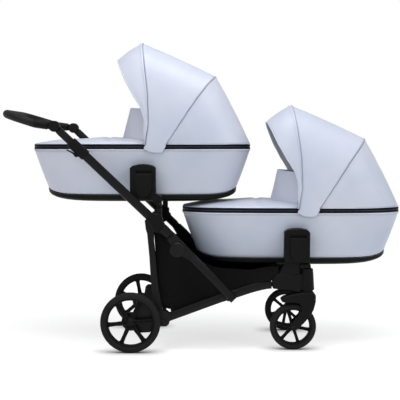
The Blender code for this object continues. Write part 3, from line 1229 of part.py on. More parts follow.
def adaptor_body(name, outer):
    middle = (ADAPTOR_REAR_X + ADAPTOR_FRONT_X) / 2
    outline = [(ADAPTOR_REAR_X, ADAPTOR_BOTTOM_Z), (ADAPTOR_FRONT_X, ADAPTOR_BOTTOM_Z),
               (ADAPTOR_FRONT_X, ADAPTOR_TOP_Z - 0.016), (ADAPTOR_FRONT_X - 0.010, ADAPTOR_TOP_Z - 0.007),
               (middle + 0.018, ADAPTOR_TOP_Z - 0.001), (middle, ADAPTOR_TOP_Z),
               (middle - 0.018, ADAPTOR_TOP_Z - 0.001),
               (ADAPTOR_REAR_X + 0.010, ADAPTOR_TOP_Z - 0.007), (ADAPTOR_REAR_X, ADAPTOR_TOP_Z - 0.016)]
    body = prism(name, outline, 0.150, outer, bevel=0.003)
    shield_outline = [(0.0175, 0.7275), (0.0175, 0.668), (0.024, 0.648), (0.036, 0.634), (0.052, 0.628),
                      (0.068, 0.634), (0.080, 0.648), (0.0865, 0.668), (0.0865, 0.7275)]
    join(body, prism("shield", shield_outline, outer - 0.002, outer + SHIELD_RISE, bevel=0.002))
    window = box("window", (0.0175, -outer - 0.01, 0.7285), (0.0850, -outer + 0.010, 0.7410))
    notches = [box("notch", (x - 0.004, -outer - 0.01, 0.709), (x + 0.004, -outer + 0.004, 0.717))
               for x in (ADAPTOR_REAR_X + 0.001, ADAPTOR_FRONT_X - 0.001)]
    cut(body, window, *notches)
    return body


def fit_to_cot(body):
    tub = lofted("tub", tub_rings(grow=GAP, floor=GAP, top=RIM_BOTTOM_Z))
    tray = lofted("tray", [plan_ring(COT_BASE_HALF_LENGTH + 0.001 + GAP, COT_BASE_HALF_WIDTH + 0.001 + GAP,
                                     lambda x, z=z: rocker(x, z)) for z in (TRAY_TOP_Z - 0.05,
                                                                            TRAY_TOP_Z + 0.004)])
    return cut(body, tub, tray)


foot_rise = GAP / math.cos(math.radians(POST_SLOPE)) + RUNNING_GAP
foot_outline = [(0.0850, 0.6500), (0.0850, 0.6245), (POST_REAR_X, POST_REAR_Z + foot_rise),
                (POST_FRONT_X, post_front_z + foot_rise), (POST_FRONT_X, 0.6330), (0.0985, 0.6500)]
upper_adaptor_right = fit_to_cot(adaptor_body("upper_adaptor_right", ADAPTOR_OUTER))
join(upper_adaptor_right, prism("foot", foot_outline, LEG_INNER - 0.006, post_outer))
coat(upper_adaptor_right, PLASTIC)

# The lower cot's adaptor ends in a neck with a spigot in the front bracket.
neck_top = 0.378 + COT_DROP
neck_base = BLOCK_TOP_Z + GAP + COT_DROP
NECK_X = WHEELBASE - 0.057 - COT_STEP_X
neck_outline = [(NECK_X + 0.034, neck_top), (NECK_X, neck_base + 0.006), (NECK_X, neck_base),
                (NECK_X + 0.080, neck_base), (NECK_X + 0.080, neck_top - 0.030), (NECK_X + 0.090, neck_top)]
lower_adaptor_right = fit_to_cot(adaptor_body("lower_adaptor_right", LOWER_ADAPTOR_OUTER))
lock_pocket = box("pocket", (NECK_X + 0.080, -FRONT_TRACK_Y - LOCK_WIDTH / 2 - 0.002,
                             ADAPTOR_BOTTOM_Z - 0.01),
                  (ADAPTOR_FRONT_X + 0.01, -0.14, SWIVEL_TOP_Z + LOCK_HEIGHT + LOCK_TRAVEL + 0.002 + COT_DROP))
cut(lower_adaptor_right, lock_pocket)
join(lower_adaptor_right, prism("neck", neck_outline, NECK_INNER, NECK_OUTER),
     box("spigot", (NECK_SPIGOT[0] - COT_STEP_X, -SPIGOT_OUTER, SPIGOT_FOOT_Z + COT_DROP),
         (NECK_SPIGOT[1] - COT_STEP_X, -SPIGOT_INNER, neck_base + 0.006)))
coat(lower_adaptor_right, PLASTIC)

# Left-hand pieces are mirror images of the right-hand ones.
pairs = {}
for right in (fork_right, lower_tube_right, front_bracket_right, swivel_lock_right, suspension_arm_right,
              rear_leg_right, lower_diagonal_right, push_tube_right, joint_bracket_right, clamp_right,
              clamp_lever_right, telescopic_tube_right, handle_arm_right, upper_adaptor_right,
              lower_adaptor_right):
    pairs[right] = mirrored(right, right.name.replace("_right", "_left"))

# Joints: an empty stands on each axis and carries what moves with it.
root = link("pram", None)
root.location = (-CENTRE_X, 0, 0)
frames = {"pram": (root, Vector((0, 0, 0)))}


def joint(name, parent, place, *carried):
    """An empty at a joint's place under its parent, with the pieces it carries"""
    empty = link(name, None)
    empty.empty_display_size = 0.02
    empty.parent = frames[parent][0]
    empty.location = Vector(place) - frames[parent][1]
    frames[name] = (empty, Vector(place))
    carry(name, *carried)
    return empty


def carry(name, *carried):
    empty, place = frames[name]
    for item in carried:
        item.data.transform(Matrix.Translation(-place))
        item.parent = empty


def at(point, y=0.0):
    return (point[0], y, point[1])


SIDES = (("right", -1), ("left", 1))
carry("pram", lower_tube_right, pairs[lower_tube_right], front_bracket_right, pairs[front_bracket_right],
      front_cross_tube, rear_axle, lower_diagonal_right, pairs[lower_diagonal_right], basket)
joint("frame_fold", "pram", at(HUB), push_tube_right, pairs[push_tube_right], joint_bracket_right,
      pairs[joint_bracket_right], clamp_right, pairs[clamp_right])
joint("rear_legs_fold", "pram", at(LEG_FOOT), rear_leg_right, pairs[rear_leg_right])
joint("handle_slide", "frame_fold", at(HANDLE_JOINT), telescopic_tube_right, pairs[telescopic_tube_right])
joint("handle_tilt", "handle_slide", at(HANDLE_JOINT), handle_arm_right, pairs[handle_arm_right], handle_grip)
joint("brake", "pram", (AXLE_TUBE_X, 0, AXLE_TUBE_Z), brake_pedal)
tyre_meshes = {"rear": tyre_rear_right, "front": tyre_front_right}
rim_meshes = {"rear": rim_rear_right, "front": rim_front_right}
for side, sign in SIDES:
    near = side == "right"
    joint("lever_" + side, "frame_fold", at(LEVER_PIN, sign * TUBE_MID),
          clamp_lever_right if near else pairs[clamp_lever_right])
    joint("lock_" + side, "pram", (SWIVEL_X, sign * FRONT_TRACK_Y, SWIVEL_TOP_Z),
          swivel_lock_right if near else pairs[swivel_lock_right])
    joint("caster_" + side, "pram", (SWIVEL_X, sign * FRONT_TRACK_Y, FRONT_WHEEL_R),
          fork_right if near else pairs[fork_right])
    joint("suspension_" + side, "pram", (ARM_PIVOT_X, sign * ARM_INNER, ARM_PIVOT_Z),
          suspension_arm_right if near else pairs[suspension_arm_right])
    joint("front_wheel_" + side, "caster_" + side, at(FRONT_AXLE, sign * FRONT_TRACK_Y))
    joint("rear_wheel_" + side, "suspension_" + side, at(REAR_AXLE, sign * REAR_TRACK_Y))
    for end in ("front", "rear"):
        for first in (tyre_meshes[end], rim_meshes[end]):
            item = first if near else link(first.name.replace("_right", "_left"), first.data)
            item.parent = frames[end + "_wheel_" + side][0]
            item.rotation_euler = (0, 0, 0 if near else math.pi)

HOOD_PIVOT = (HOOD_PIVOT_X, 0, HOOD_PIVOT_Z)
joint("upper_cot", "pram", (0, 0, 0), upper_tub, upper_base_tray, upper_rim, upper_mattress, upper_apron,
      upper_hood_fabric, upper_adaptor_right, pairs[upper_adaptor_right])
joint("upper_hood_mid", "upper_cot", HOOD_PIVOT, upper_hood_bow)
joint("upper_hood_front", "upper_hood_mid", HOOD_PIVOT, upper_hood_visor)
lower_place = Vector((COT_STEP_X, 0, -COT_DROP))
joint("lower_cot", "pram", lower_place)
joint("lower_hood_mid", "lower_cot", lower_place + Vector(HOOD_PIVOT))
joint("lower_hood_front", "lower_hood_mid", lower_place + Vector(HOOD_PIVOT))
for first, frame in ((upper_tub, "lower_cot"), (upper_base_tray, "lower_cot"), (upper_rim, "lower_cot"),
                     (upper_mattress, "lower_cot"), (upper_apron, "lower_cot"),
                     (upper_hood_fabric, "lower_cot"),
                     (upper_hood_bow, "lower_hood_mid"), (upper_hood_visor, "lower_hood_front")):
    item = link(first.name.replace("upper_", "lower_"), first.data)
    item.parent = frames[frame][0]
for item in (lower_adaptor_right, pairs[lower_adaptor_right]):
    item.parent = frames["lower_cot"][0]
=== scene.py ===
import json
import math

import bmesh
import bpy
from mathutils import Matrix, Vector, noise


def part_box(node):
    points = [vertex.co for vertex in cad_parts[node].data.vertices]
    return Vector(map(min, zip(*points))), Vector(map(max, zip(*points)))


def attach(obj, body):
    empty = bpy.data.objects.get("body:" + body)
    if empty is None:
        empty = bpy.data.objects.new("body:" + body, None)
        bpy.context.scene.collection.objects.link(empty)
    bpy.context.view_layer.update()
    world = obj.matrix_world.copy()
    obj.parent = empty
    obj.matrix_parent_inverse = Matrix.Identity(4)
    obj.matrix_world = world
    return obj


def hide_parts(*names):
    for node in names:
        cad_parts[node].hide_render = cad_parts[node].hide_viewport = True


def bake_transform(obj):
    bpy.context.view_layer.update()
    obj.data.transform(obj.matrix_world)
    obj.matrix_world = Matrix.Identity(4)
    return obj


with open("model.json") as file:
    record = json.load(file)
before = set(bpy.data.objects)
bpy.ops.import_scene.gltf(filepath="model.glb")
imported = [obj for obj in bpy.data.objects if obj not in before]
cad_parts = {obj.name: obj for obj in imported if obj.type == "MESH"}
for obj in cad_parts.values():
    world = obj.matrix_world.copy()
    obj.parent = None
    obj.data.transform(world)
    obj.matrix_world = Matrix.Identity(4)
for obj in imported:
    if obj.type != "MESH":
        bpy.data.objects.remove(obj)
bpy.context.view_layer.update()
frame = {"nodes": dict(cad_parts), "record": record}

# Studio. The pram stands on a pale floor that runs into a white backdrop.
# The camera is the photograph's: a long lens a little above the upper cot's
# base, looking square at the pram's right side.
scene = bpy.context.scene
scene.view_settings.view_transform = "Standard"
wheel_low, wheel_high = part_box("tyre_rear_right")
REAR_AXLE_X = (wheel_low.x + wheel_high.x) / 2
CAMERA_X, CAMERA_Y, CAMERA_Z = 0.3531, -4.1826, 0.8613
CAMERA_PITCH, CAMERA_YAW = 3.489, 1.02
WHITE = (1, 1, 1, 1)

camera_data = bpy.data.cameras.new("camera")
camera_data.sensor_width = 36.0
camera_data.lens = 87.05
camera = bpy.data.objects.new("camera", camera_data)
scene.collection.objects.link(camera)
camera.location = (REAR_AXLE_X + CAMERA_X, CAMERA_Y, CAMERA_Z)
camera.rotation_euler = (math.radians(90 - CAMERA_PITCH), 0, math.radians(CAMERA_YAW))
scene.camera = camera


def node(tree, kind, values=None, **settings):
    """A shader node with its settings and the values of its inputs"""
    made = tree.nodes.new("ShaderNode" + kind)
    for key, value in settings.items():
        setattr(made, key, value)
    for socket, value in (values or {}).items():
        made.inputs[socket].default_value = value
    return made


def wire(tree, *links):
    """Joins one node's output to another's input, once for each link"""
    for source, output, target, socket in links:
        tree.links.new(source.outputs[output], target.inputs[socket])


GLOW_NEAR, GLOW_FAR, GLOW_STRENGTH = 0.9, 3.2, 1.36
# Reach and power of the painted contact shadow: ambient occlusion that dims the floor's glow near the
# wheels and frame.
CONTACT_REACH, CONTACT_POWER = 0.085, 2.2


def pale_surface(name, colour, share):
    """A white floor that keeps its shading near the wheels and glows further out"""
    made = bpy.data.materials.new(name)
    made.use_nodes = True
    tree = made.node_tree
    tree.nodes.clear()
    output = node(tree, "OutputMaterial")
    mixed = node(tree, "MixShader")
    diffuse = node(tree, "BsdfDiffuse", {"Color": (*colour, 1)})
    glow = node(tree, "Emission", {"Color": WHITE})
    path = node(tree, "LightPath")
    seen = node(tree, "Math", operation="MAXIMUM")
    either = node(tree, "Math", operation="MAXIMUM")
    place = node(tree, "TexCoord")
    reach = node(tree, "VectorMath", operation="LENGTH")
    fade, bright = (node(tree, "MapRange", {"From Min": GLOW_NEAR, "From Max": GLOW_FAR, "To Min": near,
                                            "To Max": 1.0}, interpolation_type="SMOOTHSTEP")
                    for near in (share, GLOW_STRENGTH))
    # Ambient occlusion darkens the glow under and beside the wheels: a painted contact shadow.
    contact = node(tree, "AmbientOcclusion", {"Distance": CONTACT_REACH})
    deeper = node(tree, "Math", {1: CONTACT_POWER}, operation="POWER")
    dimmed = node(tree, "Math", operation="MULTIPLY")
    weight = node(tree, "Math", operation="MULTIPLY")
    wire(tree,
         (path, "Is Camera Ray", seen, 0), (path, "Is Glossy Ray", seen, 1),
         (seen, 0, either, 0), (path, "Is Transmission Ray", either, 1),
         (place, "Object", reach, 0), (reach, "Value", fade, "Value"),
         (reach, "Value", bright, "Value"),
         (contact, "AO", deeper, 0), (bright, 0, dimmed, 0), (deeper, 0, dimmed, 1),
         (dimmed, 0, glow, "Strength"), (either, 0, weight, 0), (fade, 0, weight, 1),
         (weight, 0, mixed, "Fac"), (diffuse, 0, mixed, 1), (glow, 0, mixed, 2),
         (mixed, 0, output, "Surface"))
    return made


floor_mesh = bpy.data.meshes.new("floor")
built = bmesh.new()
bmesh.ops.create_grid(built, x_segments=1, y_segments=1, size=30)
built.to_mesh(floor_mesh)
built.free()
floor = bpy.data.objects.new("floor", floor_mesh)
scene.collection.objects.link(floor)
floor.location = (0, 0, -0.0005)
floor_mesh.materials.append(pale_surface("floor", (0.90, 0.90, 0.90), 0.50))

world = bpy.data.worlds.new("studio")
scene.world = world
world.use_nodes = True
sky = world.node_tree
sky.nodes.clear()
world_out = node(sky, "OutputWorld")
soft_light = node(sky, "Background", {"Color": (0.97, 0.98, 1.0, 1), "Strength": 0.46})
white_back = node(sky, "Background", {"Color": WHITE, "Strength": 1.0})
world_mix = node(sky, "MixShader")
world_path = node(sky, "LightPath")
wire(sky, (world_path, "Is Camera Ray", world_mix, "Fac"), (soft_light, 0, world_mix, 1),
     (white_back, 0, world_mix, 2), (world_mix, 0, world_out, "Surface"))


def soft_box(name, place, aim, size, power):
    """A large area lamp turned to a point on the pram"""
    lamp = bpy.data.lights.new(name, "AREA")
    lamp.shape = "RECTANGLE"
    lamp.size = size[0]
    lamp.size_y = size[1]
    lamp.energy = power
    item = bpy.data.objects.new(name, lamp)
    scene.collection.objects.link(item)
    item.location = place
    item.rotation_euler = (Vector(aim) - Vector(place)).to_track_quat("-Z", "Y").to_euler()


soft_box("key", (-1.8, -2.9, 2.6), (0.1, 0.0, 0.6), (1.8, 1.6), 26)
soft_box("fill", (3.2, -2.2, 2.6), (0.3, 0.0, 0.6), (1.8, 1.6), 36)
soft_box("top", (0.1, -0.9, 3.6), (0.1, 0.0, 0.6), (3.0, 1.6), 71)


# Finishes. Every surface on the pram has a fine moulded, coated or woven
# texture, so one group gives the grain and another the slow change of tone.
NUMBER = "NodeSocketFloat"
GRAIN_DISTANCE = 0.0004


def group_with(name, inputs, outputs):
    """An empty node group with its sockets, and its two end nodes"""
    made = bpy.data.node_groups.new(name, "ShaderNodeTree")
    for label, value in inputs:
        socket = made.interface.new_socket(label, in_out="INPUT", socket_type=NUMBER)
        socket.default_value = value
    for label, kind in outputs:
        made.interface.new_socket(label, in_out="OUTPUT", socket_type=kind)
    return made, made.nodes.new("NodeGroupInput"), made.nodes.new("NodeGroupOutput")


grain_group, grain_in, grain_out = group_with(
    "fine_grain", [("Scale", 900.0), ("Depth", 0.2), ("Distance", GRAIN_DISTANCE)],
    [("Normal", "NodeSocketVector"), ("Mask", NUMBER)])
grain_place = node(grain_group, "TexCoord")
grain_cells = node(grain_group, "TexVoronoi", feature="DISTANCE_TO_EDGE")
grain_noise = node(grain_group, "TexNoise", {"Detail": 3.0})
grain_sum = node(grain_group, "Math", operation="ADD")
grain_bump = node(grain_group, "Bump")
wire(grain_group,
     (grain_place, "Object", grain_cells, "Vector"), (grain_place, "Object", grain_noise, "Vector"),
     (grain_in, "Scale", grain_cells, "Scale"), (grain_in, "Scale", grain_noise, "Scale"),
     (grain_cells, "Distance", grain_sum, 0), (grain_noise, "Fac", grain_sum, 1),
     (grain_sum, 0, grain_bump, "Height"), (grain_in, "Depth", grain_bump, "Strength"),
     (grain_in, "Distance", grain_bump, "Distance"), (grain_bump, "Normal", grain_out, "Normal"),
     (grain_noise, "Fac", grain_out, "Mask"))

tone_group, tone_in, tone_out = group_with("slow_tone", [("Scale", 4.0)], [("Mask", NUMBER)])
tone_place = node(tone_group, "TexCoord")
tone_noise = node(tone_group, "TexNoise", {"Detail": 4.0, "Roughness": 0.55})
tone_span = node(tone_group, "MapRange", {"From Min": 0.3, "From Max": 0.7})
wire(tone_group,
     (tone_place, "Object", tone_noise, "Vector"), (tone_in, "Scale", tone_noise, "Scale"),
     (tone_noise, "Fac", tone_span, "Value"), (tone_span, 0, tone_out, "Mask"))


def finish(name, light, dark, roughness, rough_span, grain, depth, coat=0.0, sheen=0.0, tone_scale=5.0,
           specular=0.5):
    """A Principled finish with a grain in its normal and slow changes of tone and gloss"""
    made = bpy.data.materials.new(name)
    made.use_nodes = True
    tree = made.node_tree
    shader = tree.nodes["Principled BSDF"]
    for socket, value in (("Coat Weight", coat), ("Coat Roughness", 0.25), ("Sheen Weight", sheen),
                          ("Sheen Roughness", 0.45), ("Specular IOR Level", specular)):
        shader.inputs[socket].default_value = value
    surface = node(tree, "Group", {"Scale": grain, "Depth": depth, "Distance": GRAIN_DISTANCE},
                   node_tree=grain_group)
    slow = node(tree, "Group", {"Scale": tone_scale}, node_tree=tone_group)
    tint = node(tree, "Mix", {"A": (*dark, 1), "B": (*light, 1)}, data_type="RGBA")
    gloss = node(tree, "MapRange", {"To Min": roughness - rough_span, "To Max": roughness + rough_span})
    wire(tree,
         (slow, "Mask", tint, "Factor"), (tint, "Result", shader, "Base Color"),
         (surface, "Mask", gloss, "Value"), (gloss, 0, shader, "Roughness"),
         (surface, "Normal", shader, "Normal"))
    return made


powder_coat = finish("powder_coat", (0.0060, 0.0060, 0.0068), (0.0036, 0.0036, 0.0042),
                     0.40, 0.08, 1800, 0.25, specular=0.17)
moulded_black = finish("moulded_black", (0.0052, 0.0052, 0.0058), (0.0030, 0.0030, 0.0034),
                       0.48, 0.10, 1300, 0.35, specular=0.11)
tyre_rubber = finish("tyre_rubber", (0.0085, 0.0085, 0.0085), (0.0050, 0.0050, 0.0050),
                     0.74, 0.08, 700, 0.4, specular=0.20)
pearl_cloth = finish("pearl_cloth", (0.580, 0.595, 0.690), (0.455, 0.515, 0.625),
                     0.42, 0.06, 1500, 0.22, coat=0.10, sheen=0.10, tone_scale=3.2)
# Dark seam finish: painted shade standing in for the shadow in the hood's seam grooves.
seam_shade = finish("seam_shade", (0.25, 0.28, 0.36), (0.20, 0.23, 0.30), 0.60, 0.06, 1500, 0.22)
lining_cloth = finish("lining_cloth", (0.66, 0.68, 0.72), (0.58, 0.60, 0.65),
                      0.85, 0.05, 2200, 0.5, sheen=0.3)


def linked(item, look):
    """The piece in the scene, with its finish"""
    scene.collection.objects.link(item)
    item.data.materials.clear()
    item.data.materials.append(look)
    return item


def piece_from(built, name, look, smooth=True):
    """A closed bmesh as a piece with outward faces"""
    bmesh.ops.recalc_face_normals(built, faces=built.faces)
    mesh = bpy.data.meshes.new(name)
    built.to_mesh(mesh)
    built.free()
    if smooth:
        mesh.shade_smooth()
    return linked(bpy.data.objects.new(name, mesh), look)


def round_edges(item, width, angle, segments=2):
    """Rounds the edges sharper than the angle, as a mould or a turned hem does"""
    rounding = item.modifiers.new("Bevel", "BEVEL")
    rounding.width = width
    rounding.segments = segments
    rounding.limit_method = "ANGLE"
    rounding.angle_limit = math.radians(angle)
    return rounding


# Moulded and tubular frame parts. The solids have the right shapes, so each
# is copied, its loose triangles joined up, and its edges rounded as a
# moulding's or a coated tube's are.
EDGE_ANGLE = 32
SAME_POINT = 0.00002
FLAT_ANGLE = 0.6
body_of_node = {}
for body_name, node_names in frame["record"]["behaviour"]["bodies"].items():
    for node_name in node_names:
        body_of_node[node_name] = body_name


def dressed(part, look, edge):
    """A CAD part's copy with joined faces and rounded edges, in its own finish"""
    built = bmesh.new()
    built.from_mesh(frame["nodes"][part].data)
    bmesh.ops.remove_doubles(built, verts=built.verts, dist=SAME_POINT)
    bmesh.ops.dissolve_limit(built, angle_limit=math.radians(FLAT_ANGLE), verts=built.verts,
                             edges=built.edges)
    mesh = bpy.data.meshes.new(part + "_finished")
    built.to_mesh(mesh)
    built.free()
    mesh.shade_smooth()
    mesh.set_sharp_from_angle(angle=math.radians(EDGE_ANGLE))
    item = linked(bpy.data.objects.new(part + "_finished", mesh), look)
    if edge:
        round_edges(item, edge, EDGE_ANGLE).harden_normals = True
    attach(item, body_of_node[part])
    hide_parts(part)


for side in ("right", "left"):
    for part in ("lower_tube", "lower_diagonal", "push_tube", "telescopic_tube", "rear_leg",
                 "suspension_arm"):
        dressed(f"{part}_{side}", powder_coat, edge=0.0008)
    for part in ("fork", "front_bracket", "swivel_lock", "joint_bracket", "clamp", "clamp_lever",
                 "handle_arm"):
        dressed(f"{part}_{side}", moulded_black, edge=0.0012)
    for cot in ("upper", "lower"):
        dressed(f"{cot}_adaptor_{side}", moulded_black, edge=0.0015)
dressed("rear_axle", powder_coat, edge=0.0008)
dressed("front_cross_tube", powder_coat, edge=0.0008)
dressed("brake_pedal", moulded_black, edge=0.0010)
for cot in ("upper", "lower"):
    dressed(f"{cot}_base_tray", moulded_black, edge=0.0)
    dressed(f"{cot}_hood_bow", moulded_black, edge=0.0)


# Wheels. Solid foam-filled tyres with a grooved tread on black moulded rims
# with a beaded lip and six ribbed spokes. Each is turned about its own axle.
TYRE_WALL = {"rear": 0.0250, "front": 0.0215}
RIM_GAP = 0.0003
SPOKES, SPOKE_HALF_THICK = 6, 0.0062


def turned(name, loop, centre, steps, look, closed=True):
    """A loop of (radius, offset along Y) turned a full circle about the axle"""
    built = bmesh.new()
    points = [built.verts.new((centre.x, centre.y + across, centre.z + radius))
              for radius, across in loop]
    lines = [built.edges.new((a, b)) for a, b in zip(points, points[1:])]
    if closed:
        lines.append(built.edges.new((points[-1], points[0])))
    bmesh.ops.spin(built, geom=points + lines, cent=centre, axis=(0, 1, 0), dvec=(0, 0, 0),
                   angle=2 * math.pi, steps=steps, use_merge=True, use_duplicate=False)
    bmesh.ops.remove_doubles(built, verts=built.verts, dist=SAME_POINT)
    return piece_from(built, name, look)


def tyre_loop(radius, width, wall):
    """Half of the tyre's section from bead to tread, mirrored to a loop"""
    half = width / 2
    bead = radius - wall
    side = [(bead - 0.0005, half * 0.70), (bead + 0.002, half * 0.86), (bead + 0.006, half * 0.97),
            (bead + wall * 0.5, half), (radius - 0.0045, half * 0.90), (radius - 0.0018, half * 0.74),
            (radius - 0.0009, half * 0.64), (radius - 0.0024, half * 0.60),
            (radius - 0.0024, half * 0.52), (radius - 0.0004, half * 0.48),
            (radius - 0.0001, half * 0.22), (radius - 0.0018, half * 0.18),
            (radius - 0.0018, half * 0.10), (radius, half * 0.06)]
    return side + [(r, -y) for r, y in reversed(side)]


def spoke(built, centre, angle, radii, widths, outward):
    """One ribbed spoke, grown along its length from the hub to the rim"""
    along = Vector((math.cos(angle), 0, math.sin(angle)))
    across = Vector((-along.z, 0, along.x))
    out = Vector((0, outward, 0))
    section = [(-1.0, -1.0), (-1.0, 0.55), (-0.72, 1.0), (-0.42, 1.0), (-0.25, 0.45), (0.25, 0.45),
               (0.42, 1.0), (0.72, 1.0), (1.0, 0.55), (1.0, -1.0)]
    loops = []
    for radius, width in zip(radii, widths):
        middle = centre + along * radius
        loops.append([built.verts.new(middle + across * (s * width / 2) + out * (t * SPOKE_HALF_THICK))
                      for s, t in section])
    for first, second in zip(loops, loops[1:]):
        for i in range(len(section)):
            built.faces.new((first[i - 1], first[i], second[i], second[i - 1]))
    built.faces.new(loops[0])
    built.faces.new(loops[-1])


def make_wheel(kind, side, outward, first_angle, hub_r, spoke_widths, cap):
    """A tyre on its rim, with the hub and its cap, and the spokes from an angle on"""
    low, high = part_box(f"tyre_{kind}_{side}")
    centre = (low + high) / 2
    radius = (high.z - low.z) / 2
    width = high.y - low.y
    wall = TYRE_WALL[kind]
    body = f"{kind}_wheel_{side}"
    section = tyre_loop(radius, width, wall)
    tyre = turned(f"{kind}_tyre_{side}", section, centre, 96, tyre_rubber)
    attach(tyre, body)
    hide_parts(f"tyre_{kind}_{side}")
    lip = radius - wall - RIM_GAP
    half = width / 2
    channel = [(lip, half * 0.72), (lip + 0.0012, half * 0.80), (lip - 0.0015, half * 0.84),
               (lip - 0.0040, half * 0.74), (lip - 0.0058, half * 0.55), (lip - 0.0066, half * 0.25)]
    channel += [(r, -y) for r, y in reversed(channel)]
    rim = turned(f"{kind}_rim_{side}", channel, centre, 96, moulded_black)
    face = half * 0.62
    hub = [(0.0, -half), (hub_r * 0.86, -half), (hub_r, -half * 0.85), (hub_r * 1.02, half * 0.2),
           (hub_r * 0.92, face), (hub_r * 0.70, face + 0.001), (hub_r * 0.66, face + 0.0035),
           (hub_r * 0.52, face + cap), (hub_r * 0.30, face + cap + 0.001), (0.0, face + cap + 0.001)]
    hub = [(r, outward * across) for r, across in hub]
    middle = turned(f"{kind}_hub_{side}", hub, centre, 48, moulded_black, closed=False)
    built = bmesh.new()
    radii = [hub_r * 0.8, hub_r * 1.25, (hub_r + lip) / 2, lip - 0.012, lip - 0.006, lip - 0.003]
    for i in range(SPOKES):
        spoke(built, centre, first_angle + 2 * math.pi * i / SPOKES, radii, spoke_widths, outward)
    spokes = piece_from(built, f"{kind}_spokes_{side}", moulded_black, smooth=False)
    round_edges(spokes, 0.0010, 25)
    for item in (rim, middle, spokes):
        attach(item, body)
    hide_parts(f"rim_{kind}_{side}")


REAR_WIDTHS = (0.025, 0.0190, 0.0158, 0.0178, 0.025, 0.033)
FRONT_WIDTHS = (0.018, 0.0142, 0.0126, 0.0138, 0.018, 0.024)
make_wheel("rear", "right", -1, math.radians(6), 0.0205, REAR_WIDTHS, 0.006)
make_wheel("rear", "left", 1, math.radians(40.7), 0.0205, REAR_WIDTHS, 0.006)
make_wheel("front", "right", -1, math.radians(48), 0.0140, FRONT_WIDTHS, 0.003)
make_wheel("front", "left", 1, math.radians(20), 0.0140, FRONT_WIDTHS, 0.003)

# Screws and rivets. Small pan heads on the wheel forks, the front brackets and
# the lower diagonals' feet, and two rivets on each carrycot adaptor's face.
BLOCK_Y, FOOT_Y, RIVET_Y = 0.228, 0.276, 0.236
FORK_SCREW, BLOCK_SCREW = (0.0065, 0.0025), (0.0045, 0.0018)
FOOT_SCREW, RIVET = (0.0060, 0.0020), (0.0028, 0.0015)
RIVETS = ((0.0100, 0.6710), (0.0945, 0.6790))
LOWER_COT_AHEAD, LOWER_COT_DROP = 0.634, 0.2635


def screw_head(name, place, size, outward, body):
    """A pan head of a radius and height, with a round recess, on a side face"""
    radius, height = size
    built = bmesh.new()
    points = [(radius, 0.0), (radius, height * 0.5), (radius * 0.82, height), (radius * 0.5, height)]
    start = [built.verts.new((place.x, place.y + outward * h, place.z + r)) for r, h in points]
    lines = [built.edges.new((a, b)) for a, b in zip(start, start[1:])]
    bmesh.ops.spin(built, geom=start + lines, cent=place, axis=(0, 1, 0), dvec=(0, 0, 0),
                   angle=2 * math.pi, steps=24, use_merge=True, use_duplicate=False)
    bmesh.ops.remove_doubles(built, verts=built.verts, dist=0.00001)
    loose = [e for e in built.edges if e.is_boundary]
    mouth = [e for e in loose if (e.verts[0].co - place).xz.length < radius * 0.6]
    foot = [e for e in loose if e not in mouth]
    recess = bmesh.ops.edgeloop_fill(built, edges=mouth)["faces"]
    bmesh.ops.inset_region(built, faces=recess, thickness=radius * 0.08)
    for v in recess[0].verts:
        v.co.y -= outward * height * 0.5
    bmesh.ops.edgeloop_fill(built, edges=foot)
    item = piece_from(built, name, powder_coat, smooth=False)
    item.data.shade_smooth()
    item.data.set_sharp_from_angle(angle=math.radians(30))
    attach(item, body)


def beside(ahead, y, z):
    """A place at a distance ahead of the rear axle"""
    return Vector((REAR_AXLE_X + ahead, y, z))


for side, outward in (("right", -1), ("left", 1)):
    fork_low, fork_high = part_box(f"fork_{side}")
    fork_y = fork_high.y if outward > 0 else fork_low.y
    low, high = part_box(f"tyre_front_{side}")
    axle = Vector(((low.x + high.x) / 2, fork_y, (low.z + high.z) / 2))
    screw_head(f"fork_screw_{side}", axle, FORK_SCREW, outward, f"caster_{side}")
    screw_head(f"bracket_screw_{side}", beside(0.622, outward * BLOCK_Y, 0.292), BLOCK_SCREW,
               outward, "chassis")
    screw_head(f"foot_screw_{side}", beside(0.3985, outward * FOOT_Y, 0.2155), FOOT_SCREW,
               outward, "chassis")
    for n, (x, z) in enumerate(RIVETS):
        for cot, ahead, drop in (("upper", 0.0, 0.0), ("lower", LOWER_COT_AHEAD, LOWER_COT_DROP)):
            screw_head(f"{cot}_rivet_{n}_{side}", beside(x + ahead, outward * RIVET_Y, z - drop),
                       RIVET, outward, f"{cot}_cot")

# Push handle. A padded bar in black grained imitation leather, closed by a
# sewn seam along the inner side of the bend.
grip_leather = finish("grip_leather", (0.009, 0.009, 0.0095), (0.005, 0.005, 0.0055),
                      0.56, 0.08, 900, 0.6, specular=0.22)
GRIP_R, GRIP_BEND = 0.017, 0.110
grip_low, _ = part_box("handle_grip")
half_span = abs(grip_low.y) - GRIP_R
seam_x, seam_z = REAR_AXLE_X - 0.386, 0.932
bar_x, bar_z = REAR_AXLE_X - 0.520, 0.974


def rounded_path(corners, radius, steps):
    """Points through the corners with each inner corner turned on a radius"""
    points = [Vector(corners[0])]
    for before, corner, after in zip(corners, corners[1:], corners[2:]):
        here = Vector(corner)
        back = (Vector(before) - here).normalized()
        ahead = (Vector(after) - here).normalized()
        half = back.angle(ahead) / 2
        reach = radius / math.tan(half)
        middle = here + (back + ahead).normalized() * (radius / math.sin(half))
        first = here + back * reach - middle
        last = here + ahead * reach - middle
        turn = math.pi - 2 * half
        for k in range(steps + 1):
            share = k / steps
            way = first * math.sin((1 - share) * turn) + last * math.sin(share * turn)
            points.append(middle + way / math.sin(turn))
    points.append(Vector(corners[-1]))
    return points


